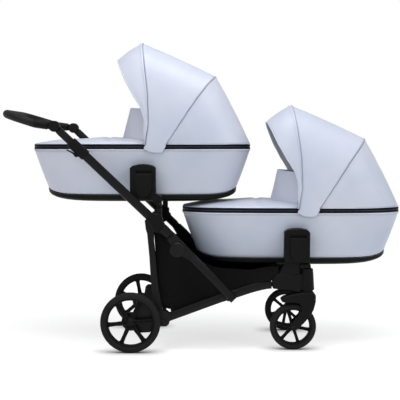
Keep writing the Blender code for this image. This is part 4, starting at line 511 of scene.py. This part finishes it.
def tube_piece(name, points, radius, look, closed=False, sides=12):
    """A round tube, cord or piping along the points, as a mesh"""
    curve = bpy.data.curves.new(name, "CURVE")
    curve.dimensions = "3D"
    curve.bevel_depth = radius
    curve.bevel_resolution = max(sides // 4 - 1, 0)
    curve.use_fill_caps = True
    line = curve.splines.new("POLY")
    line.points.add(len(points) - 1)
    for point, place in zip(line.points, points):
        point.co = (*place, 1)
    line.use_cyclic_u = closed
    holder = bpy.data.objects.new(name + "_path", curve)
    scene.collection.objects.link(holder)
    seen = bpy.context.evaluated_depsgraph_get()
    mesh = bpy.data.meshes.new_from_object(holder.evaluated_get(seen))
    bpy.data.objects.remove(holder)
    built = bmesh.new()
    built.from_mesh(mesh)
    bpy.data.meshes.remove(mesh)
    bmesh.ops.remove_doubles(built, verts=built.verts, dist=0.000005)
    return piece_from(built, name, look)


grip_path = rounded_path([(seam_x, -half_span, seam_z), (bar_x, -half_span, bar_z),
                          (bar_x, half_span, bar_z), (seam_x, half_span, seam_z)], GRIP_BEND, 16)
grip = tube_piece("padded_grip", grip_path, GRIP_R, grip_leather, sides=24)
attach(grip, "handle")
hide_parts("handle_grip")
seam_path = []
for p in grip_path[1:-1]:
    inward = Vector((seam_x + 0.05 - p.x, -p.y, 0)).normalized()
    seam_path.append(p + inward * GRIP_R * 0.98)
seam_line = tube_piece("grip_seam", seam_path, 0.0010, grip_leather, sides=8)
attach(seam_line, "handle")

# Carrycots. Each is a moulded tray and a board shell with pearl coated cloth
# stretched over it, closed at the top by a piped zip band.
PLAN_POWER = 3.2
CLOTH_WALL = 0.002


def plan_point(centre, half_length, half_width, height, turn):
    """A point on the cot's rounded plan, at a turn about its middle"""
    c = math.cos(turn)
    s = math.sin(turn)
    x = half_length * math.copysign(abs(c) ** (2 / PLAN_POWER), c)
    y = half_width * math.copysign(abs(s) ** (2 / PLAN_POWER), s)
    return Vector((centre.x + x, y, height(x) if callable(height) else height))


def ring_points(centre, half_length, half_width, height, count=120):
    """A closed line of points along the cot's rounded plan"""
    return [plan_point(centre, half_length, half_width, height, 2 * math.pi * i / count)
            for i in range(count)]


def ring_verts(verts, turn_layer, centre, ring):
    """Moves a ring of vertices to the cot's rounded plan"""
    for v in verts:
        v.co = plan_point(centre, *ring, v[turn_layer])


def ring_shell(centre, rings, count=96, join_ends=False):
    """Grows a wall from ring to ring: each is (half length, half width, height)"""
    built = bmesh.new()
    turn_layer = built.verts.layers.float.new("turn")
    made = bmesh.ops.create_circle(built, segments=count, radius=1.0, cap_ends=False)
    verts = list(made["verts"])
    for v in verts:
        v[turn_layer] = math.atan2(v.co.y, v.co.x)
    edges = list(built.edges)
    first_edges = list(edges)
    ring_verts(verts, turn_layer, centre, rings[0])
    for ring in rings[1:]:
        grown = bmesh.ops.extrude_edge_only(built, edges=edges)["geom"]
        verts = [g for g in grown if isinstance(g, bmesh.types.BMVert)]
        fresh = set(verts)
        edges = [g for g in grown if isinstance(g, bmesh.types.BMEdge) and set(g.verts) <= fresh]
        ring_verts(verts, turn_layer, centre, ring)
    if join_ends:
        bmesh.ops.bridge_loops(built, edges=first_edges + edges)
    return built, first_edges, edges


def thicken(item, thickness, offset=-1.0, inner_look=None):
    """The cloth's thickness, inward from its outer face, with its lining colour"""
    if inner_look is not None:
        item.data.materials.append(inner_look)
    wall = item.modifiers.new("Solidify", "SOLIDIFY")
    wall.thickness = thickness
    wall.offset = offset
    wall.use_even_offset = False
    if inner_look is not None:
        wall.material_offset = 1
    return item


zip_band = finish("zip_band", (0.0040, 0.0050, 0.0120), (0.0020, 0.0025, 0.0070),
                  0.60, 0.08, 2400, 0.5, specular=0.10)
zip_teeth = finish("zip_teeth", (0.045, 0.048, 0.070), (0.025, 0.027, 0.042), 0.35, 0.08, 600, 0.8)
navy_piping = finish("navy_piping", (0.008, 0.010, 0.022), (0.006, 0.007, 0.016),
                     0.35, 0.06, 2000, 0.3)
TUB_LENGTH, TUB_WIDTH = 0.4625, 0.1995
BASE_LENGTH, BASE_WIDTH = 0.403, 0.1655
RIM_LOW, RIM_HIGH = 0.8272, 0.848
TRAY_TOP, TRAY_RISE = 0.636, 0.026
TUB_ROWS = ((0.0, 0.0), (0.0, 0.035), (0.06, 0.08), (0.14, 0.16), (0.30, 0.32), (0.50, 0.52),
            (0.72, 0.74), (0.88, 0.90), (1.0, 1.0))


def rocker(x):
    """Height of the tray's top edge, which rises at both ends"""
    return TRAY_TOP + TRAY_RISE * min(abs(x) / BASE_LENGTH, 1.0) ** 10


def tub_profile(grow, floor, top):
    """The tub's side from its rounded foot to the rim"""
    rows = []
    for share, up in TUB_ROWS:
        out = 0.35 * share + 0.65 * up
        swell = grow + 0.0018 * math.sin(math.pi * up)
        tuck = 0.006 if up == 0.0 else 0.0
        length = BASE_LENGTH + (TUB_LENGTH - BASE_LENGTH) * out + swell - tuck
        width = BASE_WIDTH + (TUB_WIDTH - BASE_WIDTH) * out + swell - tuck

        def height(x, up=up):
            low = rocker(x) + floor
            return low + (top - low) * up

        rows.append((length, width, height))
    return rows


def shifted(rings, drop):
    """The same rings lowered by the cot's drop"""
    made = []
    for length, width, height in rings:
        if callable(height):
            made.append((length, width, lambda x, h=height: h(x) - drop))
        else:
            made.append((length, width, height - drop))
    return made


cots = {}
for cot in ("upper", "lower"):
    low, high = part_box(f"{cot}_rim")
    cots[cot] = (Vector(((low.x + high.x) / 2, 0, 0)), RIM_HIGH - high.z)

# Each row of the zip band: past the tub's length, past its width, height.
BAND_ROWS = ((-0.0100, -0.0100, RIM_LOW), (-0.0015, -0.0010, RIM_LOW),
             (-0.0003, 0.0002, RIM_LOW + 0.0012), (0.0, 0.0005, RIM_LOW + 0.0030),
             (-0.0002, 0.0003, RIM_LOW + 0.0072),
             (-0.0014, -0.0009, RIM_LOW + 0.0084), (-0.0014, -0.0009, RIM_LOW + 0.0120),
             (-0.0002, 0.0003, RIM_LOW + 0.0132), (0.0, 0.0005, RIM_LOW + 0.0160),
             (-0.0004, 0.0001, RIM_LOW + 0.0185), (-0.0020, -0.0015, RIM_HIGH),
             (-0.0100, -0.0100, RIM_HIGH))
CORDS = (("top_piping", -0.0030, -0.0028, RIM_HIGH + 0.0008, 0.0014, pearl_cloth, "pearl_cloth"),
         ("low_piping", 0.0004, 0.0006, RIM_LOW - 0.0030, 0.0014, lining_cloth, "pearl_cloth"),
         ("zip_teeth", -0.0016, -0.0011, RIM_LOW + 0.0102, 0.0010, zip_teeth, "zip_band"))

for cot, (centre, drop) in cots.items():
    body = f"{cot}_cot"
    built, _, _ = ring_shell(centre, shifted(tub_profile(0.0, 0.0006, RIM_LOW), drop))
    cover = piece_from(built, f"{cot}_tub_cover", pearl_cloth)
    for v in cover.data.vertices:
        crumple = noise.noise(Vector((v.co.x * 9 + 3.1, v.co.y * 9, v.co.z * 14)))
        v.co.y += math.copysign(0.0007 * crumple, v.co.y)
    thicken(cover, CLOTH_WALL)
    built, foot, _ = ring_shell(centre, shifted(tub_profile(-0.010, 0.0110, RIM_LOW), drop))
    bmesh.ops.edgeloop_fill(built, edges=foot)
    lining = piece_from(built, f"{cot}_tub_lining", lining_cloth)
    lining.data.flip_normals()
    thicken(lining, CLOTH_WALL)
    for item in (cover, lining):
        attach(item, body)
    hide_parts(f"{cot}_tub")
    hem_line = ring_points(centre, BASE_LENGTH - 0.0005, BASE_WIDTH - 0.0005,
                           lambda x: rocker(x) + 0.0010 - drop)
    hem = tube_piece(f"{cot}_tub_hem", hem_line, 0.0016, navy_piping, closed=True)
    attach(hem, body)

    # Zip band: two piped edges with the closed teeth sunk between them.
    band = [(TUB_LENGTH + along, TUB_WIDTH + across, z) for along, across, z in BAND_ROWS]
    built, _, _ = ring_shell(centre, shifted(band, drop), join_ends=True)
    rim_piece = piece_from(built, f"{cot}_zip_band", zip_band)
    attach(rim_piece, body)
    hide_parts(f"{cot}_rim")
    for label, along, across, z, radius, look, slot in CORDS:
        line = ring_points(centre, TUB_LENGTH + along, TUB_WIDTH + across, z - drop)
        cord = tube_piece(f"{cot}_{label}", line, radius, look, closed=True)
        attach(cord, body)

# Mattresses. A foam pad covered in pale jersey lies in each cot, crowned from
# its rounded foot to a flat top. Each row is an inset and a height on the tray.
PAD_LENGTH, PAD_WIDTH = BASE_LENGTH - 0.014, BASE_WIDTH - 0.014
PAD_ROWS = ((0.014, 0.0112), (0.003, 0.0150), (0.0, 0.026), (0.002, 0.038), (0.012, 0.0455),
            (0.060, 0.0480))
for cot, (centre, drop) in cots.items():
    rows = [(PAD_LENGTH - inset, PAD_WIDTH - inset, lambda x, up=up: rocker(x) + up)
            for inset, up in PAD_ROWS]
    rows.append((PAD_LENGTH * 0.5, PAD_WIDTH * 0.4, lambda x: rocker(x) + 0.0485))
    built, foot, crown = ring_shell(centre, shifted(rows, drop), count=72)
    bmesh.ops.edgeloop_fill(built, edges=foot)
    bmesh.ops.edgeloop_fill(built, edges=crown)
    pad = piece_from(built, f"{cot}_quilted_mattress", lining_cloth)
    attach(pad, f"{cot}_cot")
    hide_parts(f"{cot}_mattress")

# Aprons. A padded cover zipped over the foot end, puffed either side of a
# cross seam, with a wind flap that stands up in a curve before the hood.
FLAP_FRONT, FLAP_TOP, FLAP_HALF, FLAP_WRAP, FLAP_LEAN = -0.052, 1.003, 0.170, 0.108, 0.037
FLAP_SPAN, FLAP_DIP = FLAP_HALF * 0.985, 0.010
APRON_CROWN, CREASE_DEPTH, CREASE_X, CREASE_WIDTH = 0.024, 0.006, -0.142, 0.010
APRON_WALL, FLAP_WALL = 0.003, 0.006
COT_CENTRE_X = 0.032


def flap_x(y, z):
    """The flap's curved plan, leaning towards the head end as it rises"""
    lean = FLAP_LEAN * (z - RIM_HIGH) / (FLAP_TOP - RIM_HIGH)
    return FLAP_FRONT - COT_CENTRE_X + lean + FLAP_WRAP * (abs(y) / FLAP_HALF) ** 2.4


def flap_top(y):
    """Height of the flap's top edge, which dips towards the sides"""
    return FLAP_TOP - FLAP_DIP * (abs(y) / FLAP_HALF) ** 2


def plan_share(x, y):
    """How far out a point of the plan lies, from 0 in the middle to 1 at the rim"""
    total = (abs(x) / TUB_LENGTH) ** PLAN_POWER + (abs(y) / TUB_WIDTH) ** PLAN_POWER
    return min(total ** (1 / PLAN_POWER), 1.0)


def dome(x, share):
    """Height of the apron over the rim: a low crown creased by one cross seam"""
    crown = APRON_CROWN * (1 - share ** PLAN_POWER)
    crease = CREASE_DEPTH * math.exp(-((x - CREASE_X) / CREASE_WIDTH) ** 2)
    ripple = 0.0022 * math.sin(x * 31.0) * (1 - share ** 2)
    return max(crown - crease + ripple, 0.0)


for cot, (centre, drop) in cots.items():
    body = f"{cot}_cot"
    built = bmesh.new()
    bmesh.ops.create_grid(built, x_segments=72, y_segments=40, size=1.0)
    for v in built.verts:
        across = v.co.y
        reach = (1 - min(abs(across), 1.0) ** PLAN_POWER) ** (1 / PLAN_POWER)
        y = across * (TUB_WIDTH - 0.0015)
        back = -reach * (TUB_LENGTH - 0.002)
        front = min(flap_x(y, RIM_HIGH) + 0.002, reach * (TUB_LENGTH - 0.002))
        front = max(front, back)
        x = back + (front - back) * (v.co.x + 1) / 2
        share = plan_share(x, y)
        v.co = (centre.x + x, y, RIM_HIGH + 0.0055 - drop + dome(x, share))
        v.co.z -= 0.0045 * share ** 12
    bmesh.ops.remove_doubles(built, verts=built.verts, dist=0.0002)
    top = piece_from(built, f"{cot}_apron_cover", pearl_cloth)
    if top.data.polygons[len(top.data.polygons) // 2].normal.z < 0:
        top.data.flip_normals()
    thicken(top, APRON_WALL, inner_look=lining_cloth)
    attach(top, body)
    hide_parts(f"{cot}_apron")

    built = bmesh.new()
    bmesh.ops.create_grid(built, x_segments=48, y_segments=16, size=1.0)
    for v in built.verts:
        y = v.co.x * FLAP_SPAN
        up = (v.co.y + 1) / 2
        foot_x = flap_x(y, RIM_HIGH)
        low = RIM_HIGH + 0.003 + dome(foot_x, plan_share(foot_x, y))
        z = low + (flap_top(y) - low) * up
        wave = 0.0016 * math.sin(7 * v.co.x + 2.0 * up)
        v.co = (centre.x + flap_x(y, z) - 0.003 + wave, y, z - drop)
    flap = piece_from(built, f"{cot}_wind_flap", pearl_cloth)
    if flap.data.polygons[len(flap.data.polygons) // 2].normal.x > 0:
        flap.data.flip_normals()
    thicken(flap, FLAP_WALL, offset=0.0)
    round_edges(flap, 0.0022, 50, segments=3)
    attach(flap, body)
    edge = []
    for i in range(41):
        across = (i - 20) / 20
        y = FLAP_SPAN * across
        z = flap_top(y) - 0.009
        wave = 0.0016 * math.sin(7 * across + 1.9)
        edge.append(Vector((centre.x + flap_x(y, z) - 0.0062 + wave, y, z - drop)))
    edge_seam = tube_piece(f"{cot}_flap_seam", edge, 0.0009, pearl_cloth, sides=8)
    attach(edge_seam, body)

# Hoods. Pearl cloth stretched over two bows, with a pale lining, a bound
# visor in front and a cloth tab that covers each side pivot.
PIVOT_X, PIVOT_Z = 0.091 - COT_CENTRE_X, 0.837
HOOD_HALF, ARCH_POWER = 0.2065, 2 / 2.8

# Each bow: its length, and its angle from the pivot at distances from it.
FRONT_BOW = (0.442, ((0.034, 164.6), (0.045, 135.0), (0.067, 111.9), (0.095, 103.0), (0.142, 99.0),
                     (0.22, 96.6), (0.35, 96.8), (0.44, 97.0)))
MID_BOW = (0.393, ((0.0518, 9.9), (0.060, 17.8), (0.075, 26.5), (0.100, 34.6), (0.140, 41.1),
                   (0.200, 45.9), (0.270, 48.4), (0.340, 49.2), (0.393, 49.3)))
BACK_EDGE = (0.4035, ((0.0, 0.6), (0.4, 0.6)))
VISOR_EDGE = (0.403, ((0.0391, 166.7), (0.045, 147.6), (0.055, 133.7), (0.070, 122.9), (0.090, 115.0),
                      (0.120, 108.5), (0.167, 107.9), (0.230, 111.7), (0.300, 113.4), (0.403, 113.5)))
FRONT_START, MID_START, BACK_START, VISOR_START = 0.0342, 0.0518, 0.050, 0.0391
BACK_HALF, SEAM_PROUD, VISOR_WALL = 0.2006, 0.0022, 0.0045


def bow_angle(table, r):
    """The line's angle from the pivot at a distance from it"""
    for (r0, a0), (r1, a1) in zip(table, table[1:]):
        if r < r1:
            return a0 + (a1 - a0) * max(r - r0, 0.0) / (r1 - r0)
    return table[-1][1]


def arch_point(centre, drop, bow, turn_share, start, half_width=HOOD_HALF, grow=0.0, lift=None,
               turn_by=0.0):
    """A point on a bow's arch, from the near pivot (0) over to the far one (1)"""
    length, table = bow
    size = length + grow
    wide = half_width + grow
    first = math.asin(min((start / size) ** (1 / ARCH_POWER), 1.0))
    turn = first + (math.pi - 2 * first) * turn_share
    r = size * math.sin(turn) ** ARCH_POWER
    c = math.cos(turn)
    y = -wide * math.copysign(abs(c) ** ARCH_POWER, c)
    tilt = math.radians(bow_angle(table, r) + turn_by)
    z = PIVOT_Z + r * math.sin(tilt)
    if lift is not None:
        z = max(z, lift)
    return Vector((centre.x + PIVOT_X + r * math.cos(tilt), y, z - drop))


FRONT_TAB = ((0.0060, -0.0238), (-0.0070, -0.0234), (-0.0162, -0.0211), (-0.0290, -0.0147),
             (-0.0400, -0.0085), (-0.0405, -0.0040), (-0.0370, 0.0030), (-0.0330, 0.0086))
REAR_TAB = ((0.0150, -0.0240), (0.0290, -0.0238), (0.0350, -0.0225), (0.0395, -0.0170),
            (0.0443, -0.0090), (0.0480, -0.0030), (0.0500, 0.0040), (0.0508, 0.0086))
TAB_SHARE = 1 / 12


def with_tab(arch, outline, share, centre, drop):
    """The arch, with its ends carried down over the pivots to the tab's hem"""
    near_end = min(share, 1 - share)
    if near_end >= TAB_SHARE:
        return arch((share - TAB_SHARE) / (1 - 2 * TAB_SHARE))
    place = near_end / TAB_SHARE * (len(outline) - 1)
    i = min(int(place), len(outline) - 2)
    x = outline[i][0] + (outline[i + 1][0] - outline[i][0]) * (place - i)
    z = outline[i][1] + (outline[i + 1][1] - outline[i][1]) * (place - i)
    y = HOOD_HALF - 0.0015 * (1 - near_end / TAB_SHARE)
    return Vector((centre.x + PIVOT_X + x, y if share > 0.5 else -y, PIVOT_Z + z - drop))


def cloth_panel(name, rows, across, bulge, look, centre, drop, pucker=0.0006):
    """Cloth between two bows, pulled smooth with a slight fullness"""
    built = bmesh.new()
    bmesh.ops.create_grid(built, x_segments=across, y_segments=96, size=1.0)
    hub = Vector((centre.x + PIVOT_X, 0, PIVOT_Z - drop))
    for v in built.verts:
        along = (v.co.x + 1) / 2
        share = (v.co.y + 1) / 2
        place = rows[0](share).lerp(rows[1](share), along)
        outward = Vector((place.x - hub.x, place.y * 0.9, place.z - hub.z)).normalized()
        height = min((place - hub).xz.length / 0.38, 1.0)
        full = bulge * 4 * along * (1 - along) * height
        crease = pucker * noise.noise(place * 22.0) * 4 * along * (1 - along)
        v.co = place + outward * (full + crease)
    return piece_from(built, name, look)


def face_out(item, centre, drop):
    """Turns a panel so that its faces look away from the hood's inside"""
    heart = Vector((centre.x + PIVOT_X + 0.05, 0, PIVOT_Z + 0.1 - drop))
    mesh = item.data
    vote = sum(1 if p.normal.dot(p.center - heart) > 0 else -1 for p in mesh.polygons)
    if vote < 0:
        mesh.flip_normals()


for cot, (centre, drop) in cots.items():
    hood_mid, hood_front, body = f"{cot}_hood_mid", f"{cot}_hood_front", f"{cot}_cot"

    def back_row(s, centre=centre, drop=drop):
        return arch_point(centre, drop, BACK_EDGE, s, BACK_START, half_width=BACK_HALF, lift=RIM_HIGH)

    def mid_row(s, centre=centre, drop=drop):
        return arch_point(centre, drop, MID_BOW, s, MID_START)

    def front_row(s, centre=centre, drop=drop):
        return arch_point(centre, drop, FRONT_BOW, s, FRONT_START)

    def mid_tabbed(s, centre=centre, drop=drop, arch=mid_row):
        return with_tab(arch, REAR_TAB, s, centre, drop)

    def front_tabbed(s, centre=centre, drop=drop, arch=front_row):
        return with_tab(arch, FRONT_TAB, s, centre, drop)

    back = cloth_panel(f"{cot}_hood_back", (back_row, mid_row), 30, 0.0045, pearl_cloth, centre,
                       drop)
    face_out(back, centre, drop)
    thicken(back, CLOTH_WALL, inner_look=lining_cloth)
    middle = cloth_panel(f"{cot}_hood_middle", (mid_tabbed, front_tabbed), 30, 0.0035, pearl_cloth,
                         centre, drop)
    face_out(middle, centre, drop)
    thicken(middle, CLOTH_WALL, inner_look=lining_cloth)
    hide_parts(f"{cot}_hood_fabric")
    for item in (back, middle):
        bpy.context.view_layer.update()
        seen = bpy.context.evaluated_depsgraph_get()
        solid = bpy.data.meshes.new_from_object(item.evaluated_get(seen))
        item.modifiers.clear()
        item.data = solid
    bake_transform(back)
    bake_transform(middle)

    def visor_seam(s, centre=centre, drop=drop):
        return arch_point(centre, drop, FRONT_BOW, s, FRONT_START, half_width=HOOD_HALF + SEAM_PROUD,
                          grow=SEAM_PROUD)

    def visor_edge(s, centre=centre, drop=drop):
        return arch_point(centre, drop, VISOR_EDGE, s, VISOR_START, half_width=HOOD_HALF + SEAM_PROUD)

    visor = cloth_panel(f"{cot}_visor", (visor_seam, visor_edge), 18, 0.0060, pearl_cloth, centre,
                        drop, pucker=0.0)
    face_out(visor, centre, drop)
    thicken(visor, VISOR_WALL, inner_look=lining_cloth)
    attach(visor, hood_front)
    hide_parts(f"{cot}_hood_visor")

    def stitch_row(s, centre=centre, drop=drop):
        return arch_point(centre, drop, FRONT_BOW, s, 0.12, half_width=HOOD_HALF + 0.0026,
                          grow=0.0030, turn_by=1.6)

    def mid_seam(s, centre=centre, drop=drop):
        return arch_point(centre, drop, MID_BOW, s, MID_START, half_width=HOOD_HALF + 0.0003,
                          grow=0.0006)

    # The front and mid seams are drawn in the dark seam finish, painted shade for the shadow in each
    # seam's groove.
    seams = (("front_seam", visor_seam, 0.0009, seam_shade, hood_front),
             ("front_topstitch", stitch_row, 0.0007, pearl_cloth, hood_front),
             ("visor_binding", visor_edge, 0.0028, pearl_cloth, hood_front),
             ("mid_seam", mid_seam, 0.0012, seam_shade, hood_mid),
             ("back_piping", back_row, 0.0014, pearl_cloth, body))
    for label, row, radius, look, carrier in seams:
        points = [row(i / 96) for i in range(97)]
        cord_piece = tube_piece(f"{cot}_{label}", points, radius, look, sides=8)
        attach(cord_piece, carrier)

# Shopping basket. One bag of black woven cloth hung between the lower tubes,
# bound along its top edge, with a fold running up each side.
basket_cloth = finish("basket_cloth", (0.0058, 0.0058, 0.0064), (0.0030, 0.0030, 0.0034),
                      0.85, 0.05, 3000, 0.6, specular=0.10)
_, basket_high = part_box("basket")
basket_half = basket_high.y - 0.0008

# The lower tube's centre line: distance ahead of the rear axle, and height.
TUBE_LINE = ((0.118, 0.1245), (0.3644, 0.2158), (0.4865, 0.2535), (0.560, 0.2695), (0.660, 0.2735))


def tube_line(x, rise):
    """A point over the lower tube's centre line, by its distance ahead"""
    for (x0, z0), (x1, z1) in zip(TUBE_LINE, TUBE_LINE[1:]):
        if x <= x1:
            return (x, z0 + (z1 - z0) * (x - x0) / (x1 - x0) + rise)


def smoothed(corners, steps=6):
    """A line drawn through its corners without a kink"""
    points = [Vector(p) for p in corners]
    points = [points[0] * 2 - points[1], *points, points[-1] * 2 - points[-2]]
    made = []
    for a, b, c, d in zip(points, points[1:], points[2:], points[3:]):
        for k in range(steps):
            t = k / steps
            made.append((b * 2 + (c - a) * t + (a * 2 - b * 5 + c * 4 - d) * t ** 2
                         + (b * 3 - a - c * 3 + d) * t ** 3) / 2)
    return [tuple(p) for p in made] + [tuple(points[-2])]


top_line = smoothed(((0.0925, 0.4915), (0.1198, 0.4765), (0.1633, 0.4352), (0.2500, 0.3865),
                     (0.3395, 0.3420), (0.4395, 0.3325), (0.4915, 0.3300), (0.5335, 0.3360),
                     (0.5750, 0.3415), (0.6060, 0.3425)))
low_line = ((0.1145, 0.1930), (0.1290, 0.1745), (0.1615, 0.1672), tube_line(0.1640, 0.002),
            tube_line(0.3644, 0.002), tube_line(0.4070, 0.002), tube_line(0.4270, 0.0162),
            tube_line(0.4865, 0.0162), tube_line(0.5600, 0.0166), (0.5850, 0.2890), (0.6040, 0.3040))
floor_line = ((0.0935, 0.4900), (0.1155, 0.1945), (0.1300, 0.1765), (0.1630, 0.1690),
              tube_line(0.1660, 0.004), tube_line(0.3644, 0.004), tube_line(0.4060, 0.004),
              tube_line(0.4280, 0.0180), tube_line(0.4865, 0.0180), tube_line(0.5600, 0.0184),
              (0.5845, 0.2905), (0.6030, 0.3055), (0.6050, 0.3420))
SAG_START, SAG_END, SAG_DEPTH = 0.14, 0.56, 0.0035
BASKET_WALL, BINDING_R = 0.0018, 0.0022


def on_line(line, share):
    """A point at a share of a line of corners, by length"""
    points = [Vector(p) for p in line]
    spans = [(b - a).length for a, b in zip(points, points[1:])]
    goal = share * sum(spans)
    for a, b, span in zip(points, points[1:], spans):
        if goal <= span or b is points[-1]:
            return a.lerp(b, min(goal / span, 1.0))
        goal -= span


for side, outward in (("right", -1), ("left", 1)):
    built = bmesh.new()
    bmesh.ops.create_grid(built, x_segments=60, y_segments=24, size=1.0)
    for v in built.verts:
        along = (v.co.x + 1) / 2
        up = (v.co.y + 1) / 2
        place = on_line(low_line, along).lerp(on_line(top_line, along), up)
        inset = 0.0045 * math.sin(math.pi * along) * math.sin(math.pi * up)
        from_fold = abs((place.x - 0.150) * 0.76 - (place.y - 0.200) * 0.65 - 0.020)
        inset += 0.0030 * math.exp(-(from_fold / 0.010) ** 2) * min(along, 1 - along) * 4
        inset += 0.0008 * noise.noise(Vector((place.x * 30, outward * 2, place.y * 30)))
        v.co = (REAR_AXLE_X + place.x, outward * (basket_half - max(inset, 0)), place.y)
    panel = piece_from(built, f"basket_side_{side}", basket_cloth)
    if panel.data.polygons[0].normal.y * outward < 0:
        panel.data.flip_normals()
    thicken(panel, BASKET_WALL)
    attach(panel, "chassis")
    binding = [Vector((REAR_AXLE_X + p.x, outward * (basket_half - 0.0010), p.y))
               for p in (on_line(top_line, i / 60) for i in range(61))]
    hem = tube_piece(f"basket_binding_{side}", binding, BINDING_R, basket_cloth, sides=8)
    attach(hem, "chassis")

built = bmesh.new()
bmesh.ops.create_grid(built, x_segments=60, y_segments=30, size=1.0)
for v in built.verts:
    place = on_line(floor_line, (v.co.x + 1) / 2)
    sag = 0.0
    if SAG_START < place.x < SAG_END and place.y < 0.30:
        run = (place.x - SAG_START) / (SAG_END - SAG_START)
        sag = SAG_DEPTH * math.cos(v.co.y * math.pi / 2) * math.sin(math.pi * run)
    v.co = (REAR_AXLE_X + place.x, v.co.y * (basket_half - 0.0016), place.y - sag)
bottom = piece_from(built, "basket_floor", basket_cloth)
if bottom.data.polygons[len(bottom.data.polygons) // 2].normal.z > 0:
    bottom.data.flip_normals()
thicken(bottom, BASKET_WALL)
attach(bottom, "chassis")
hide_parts("basket")
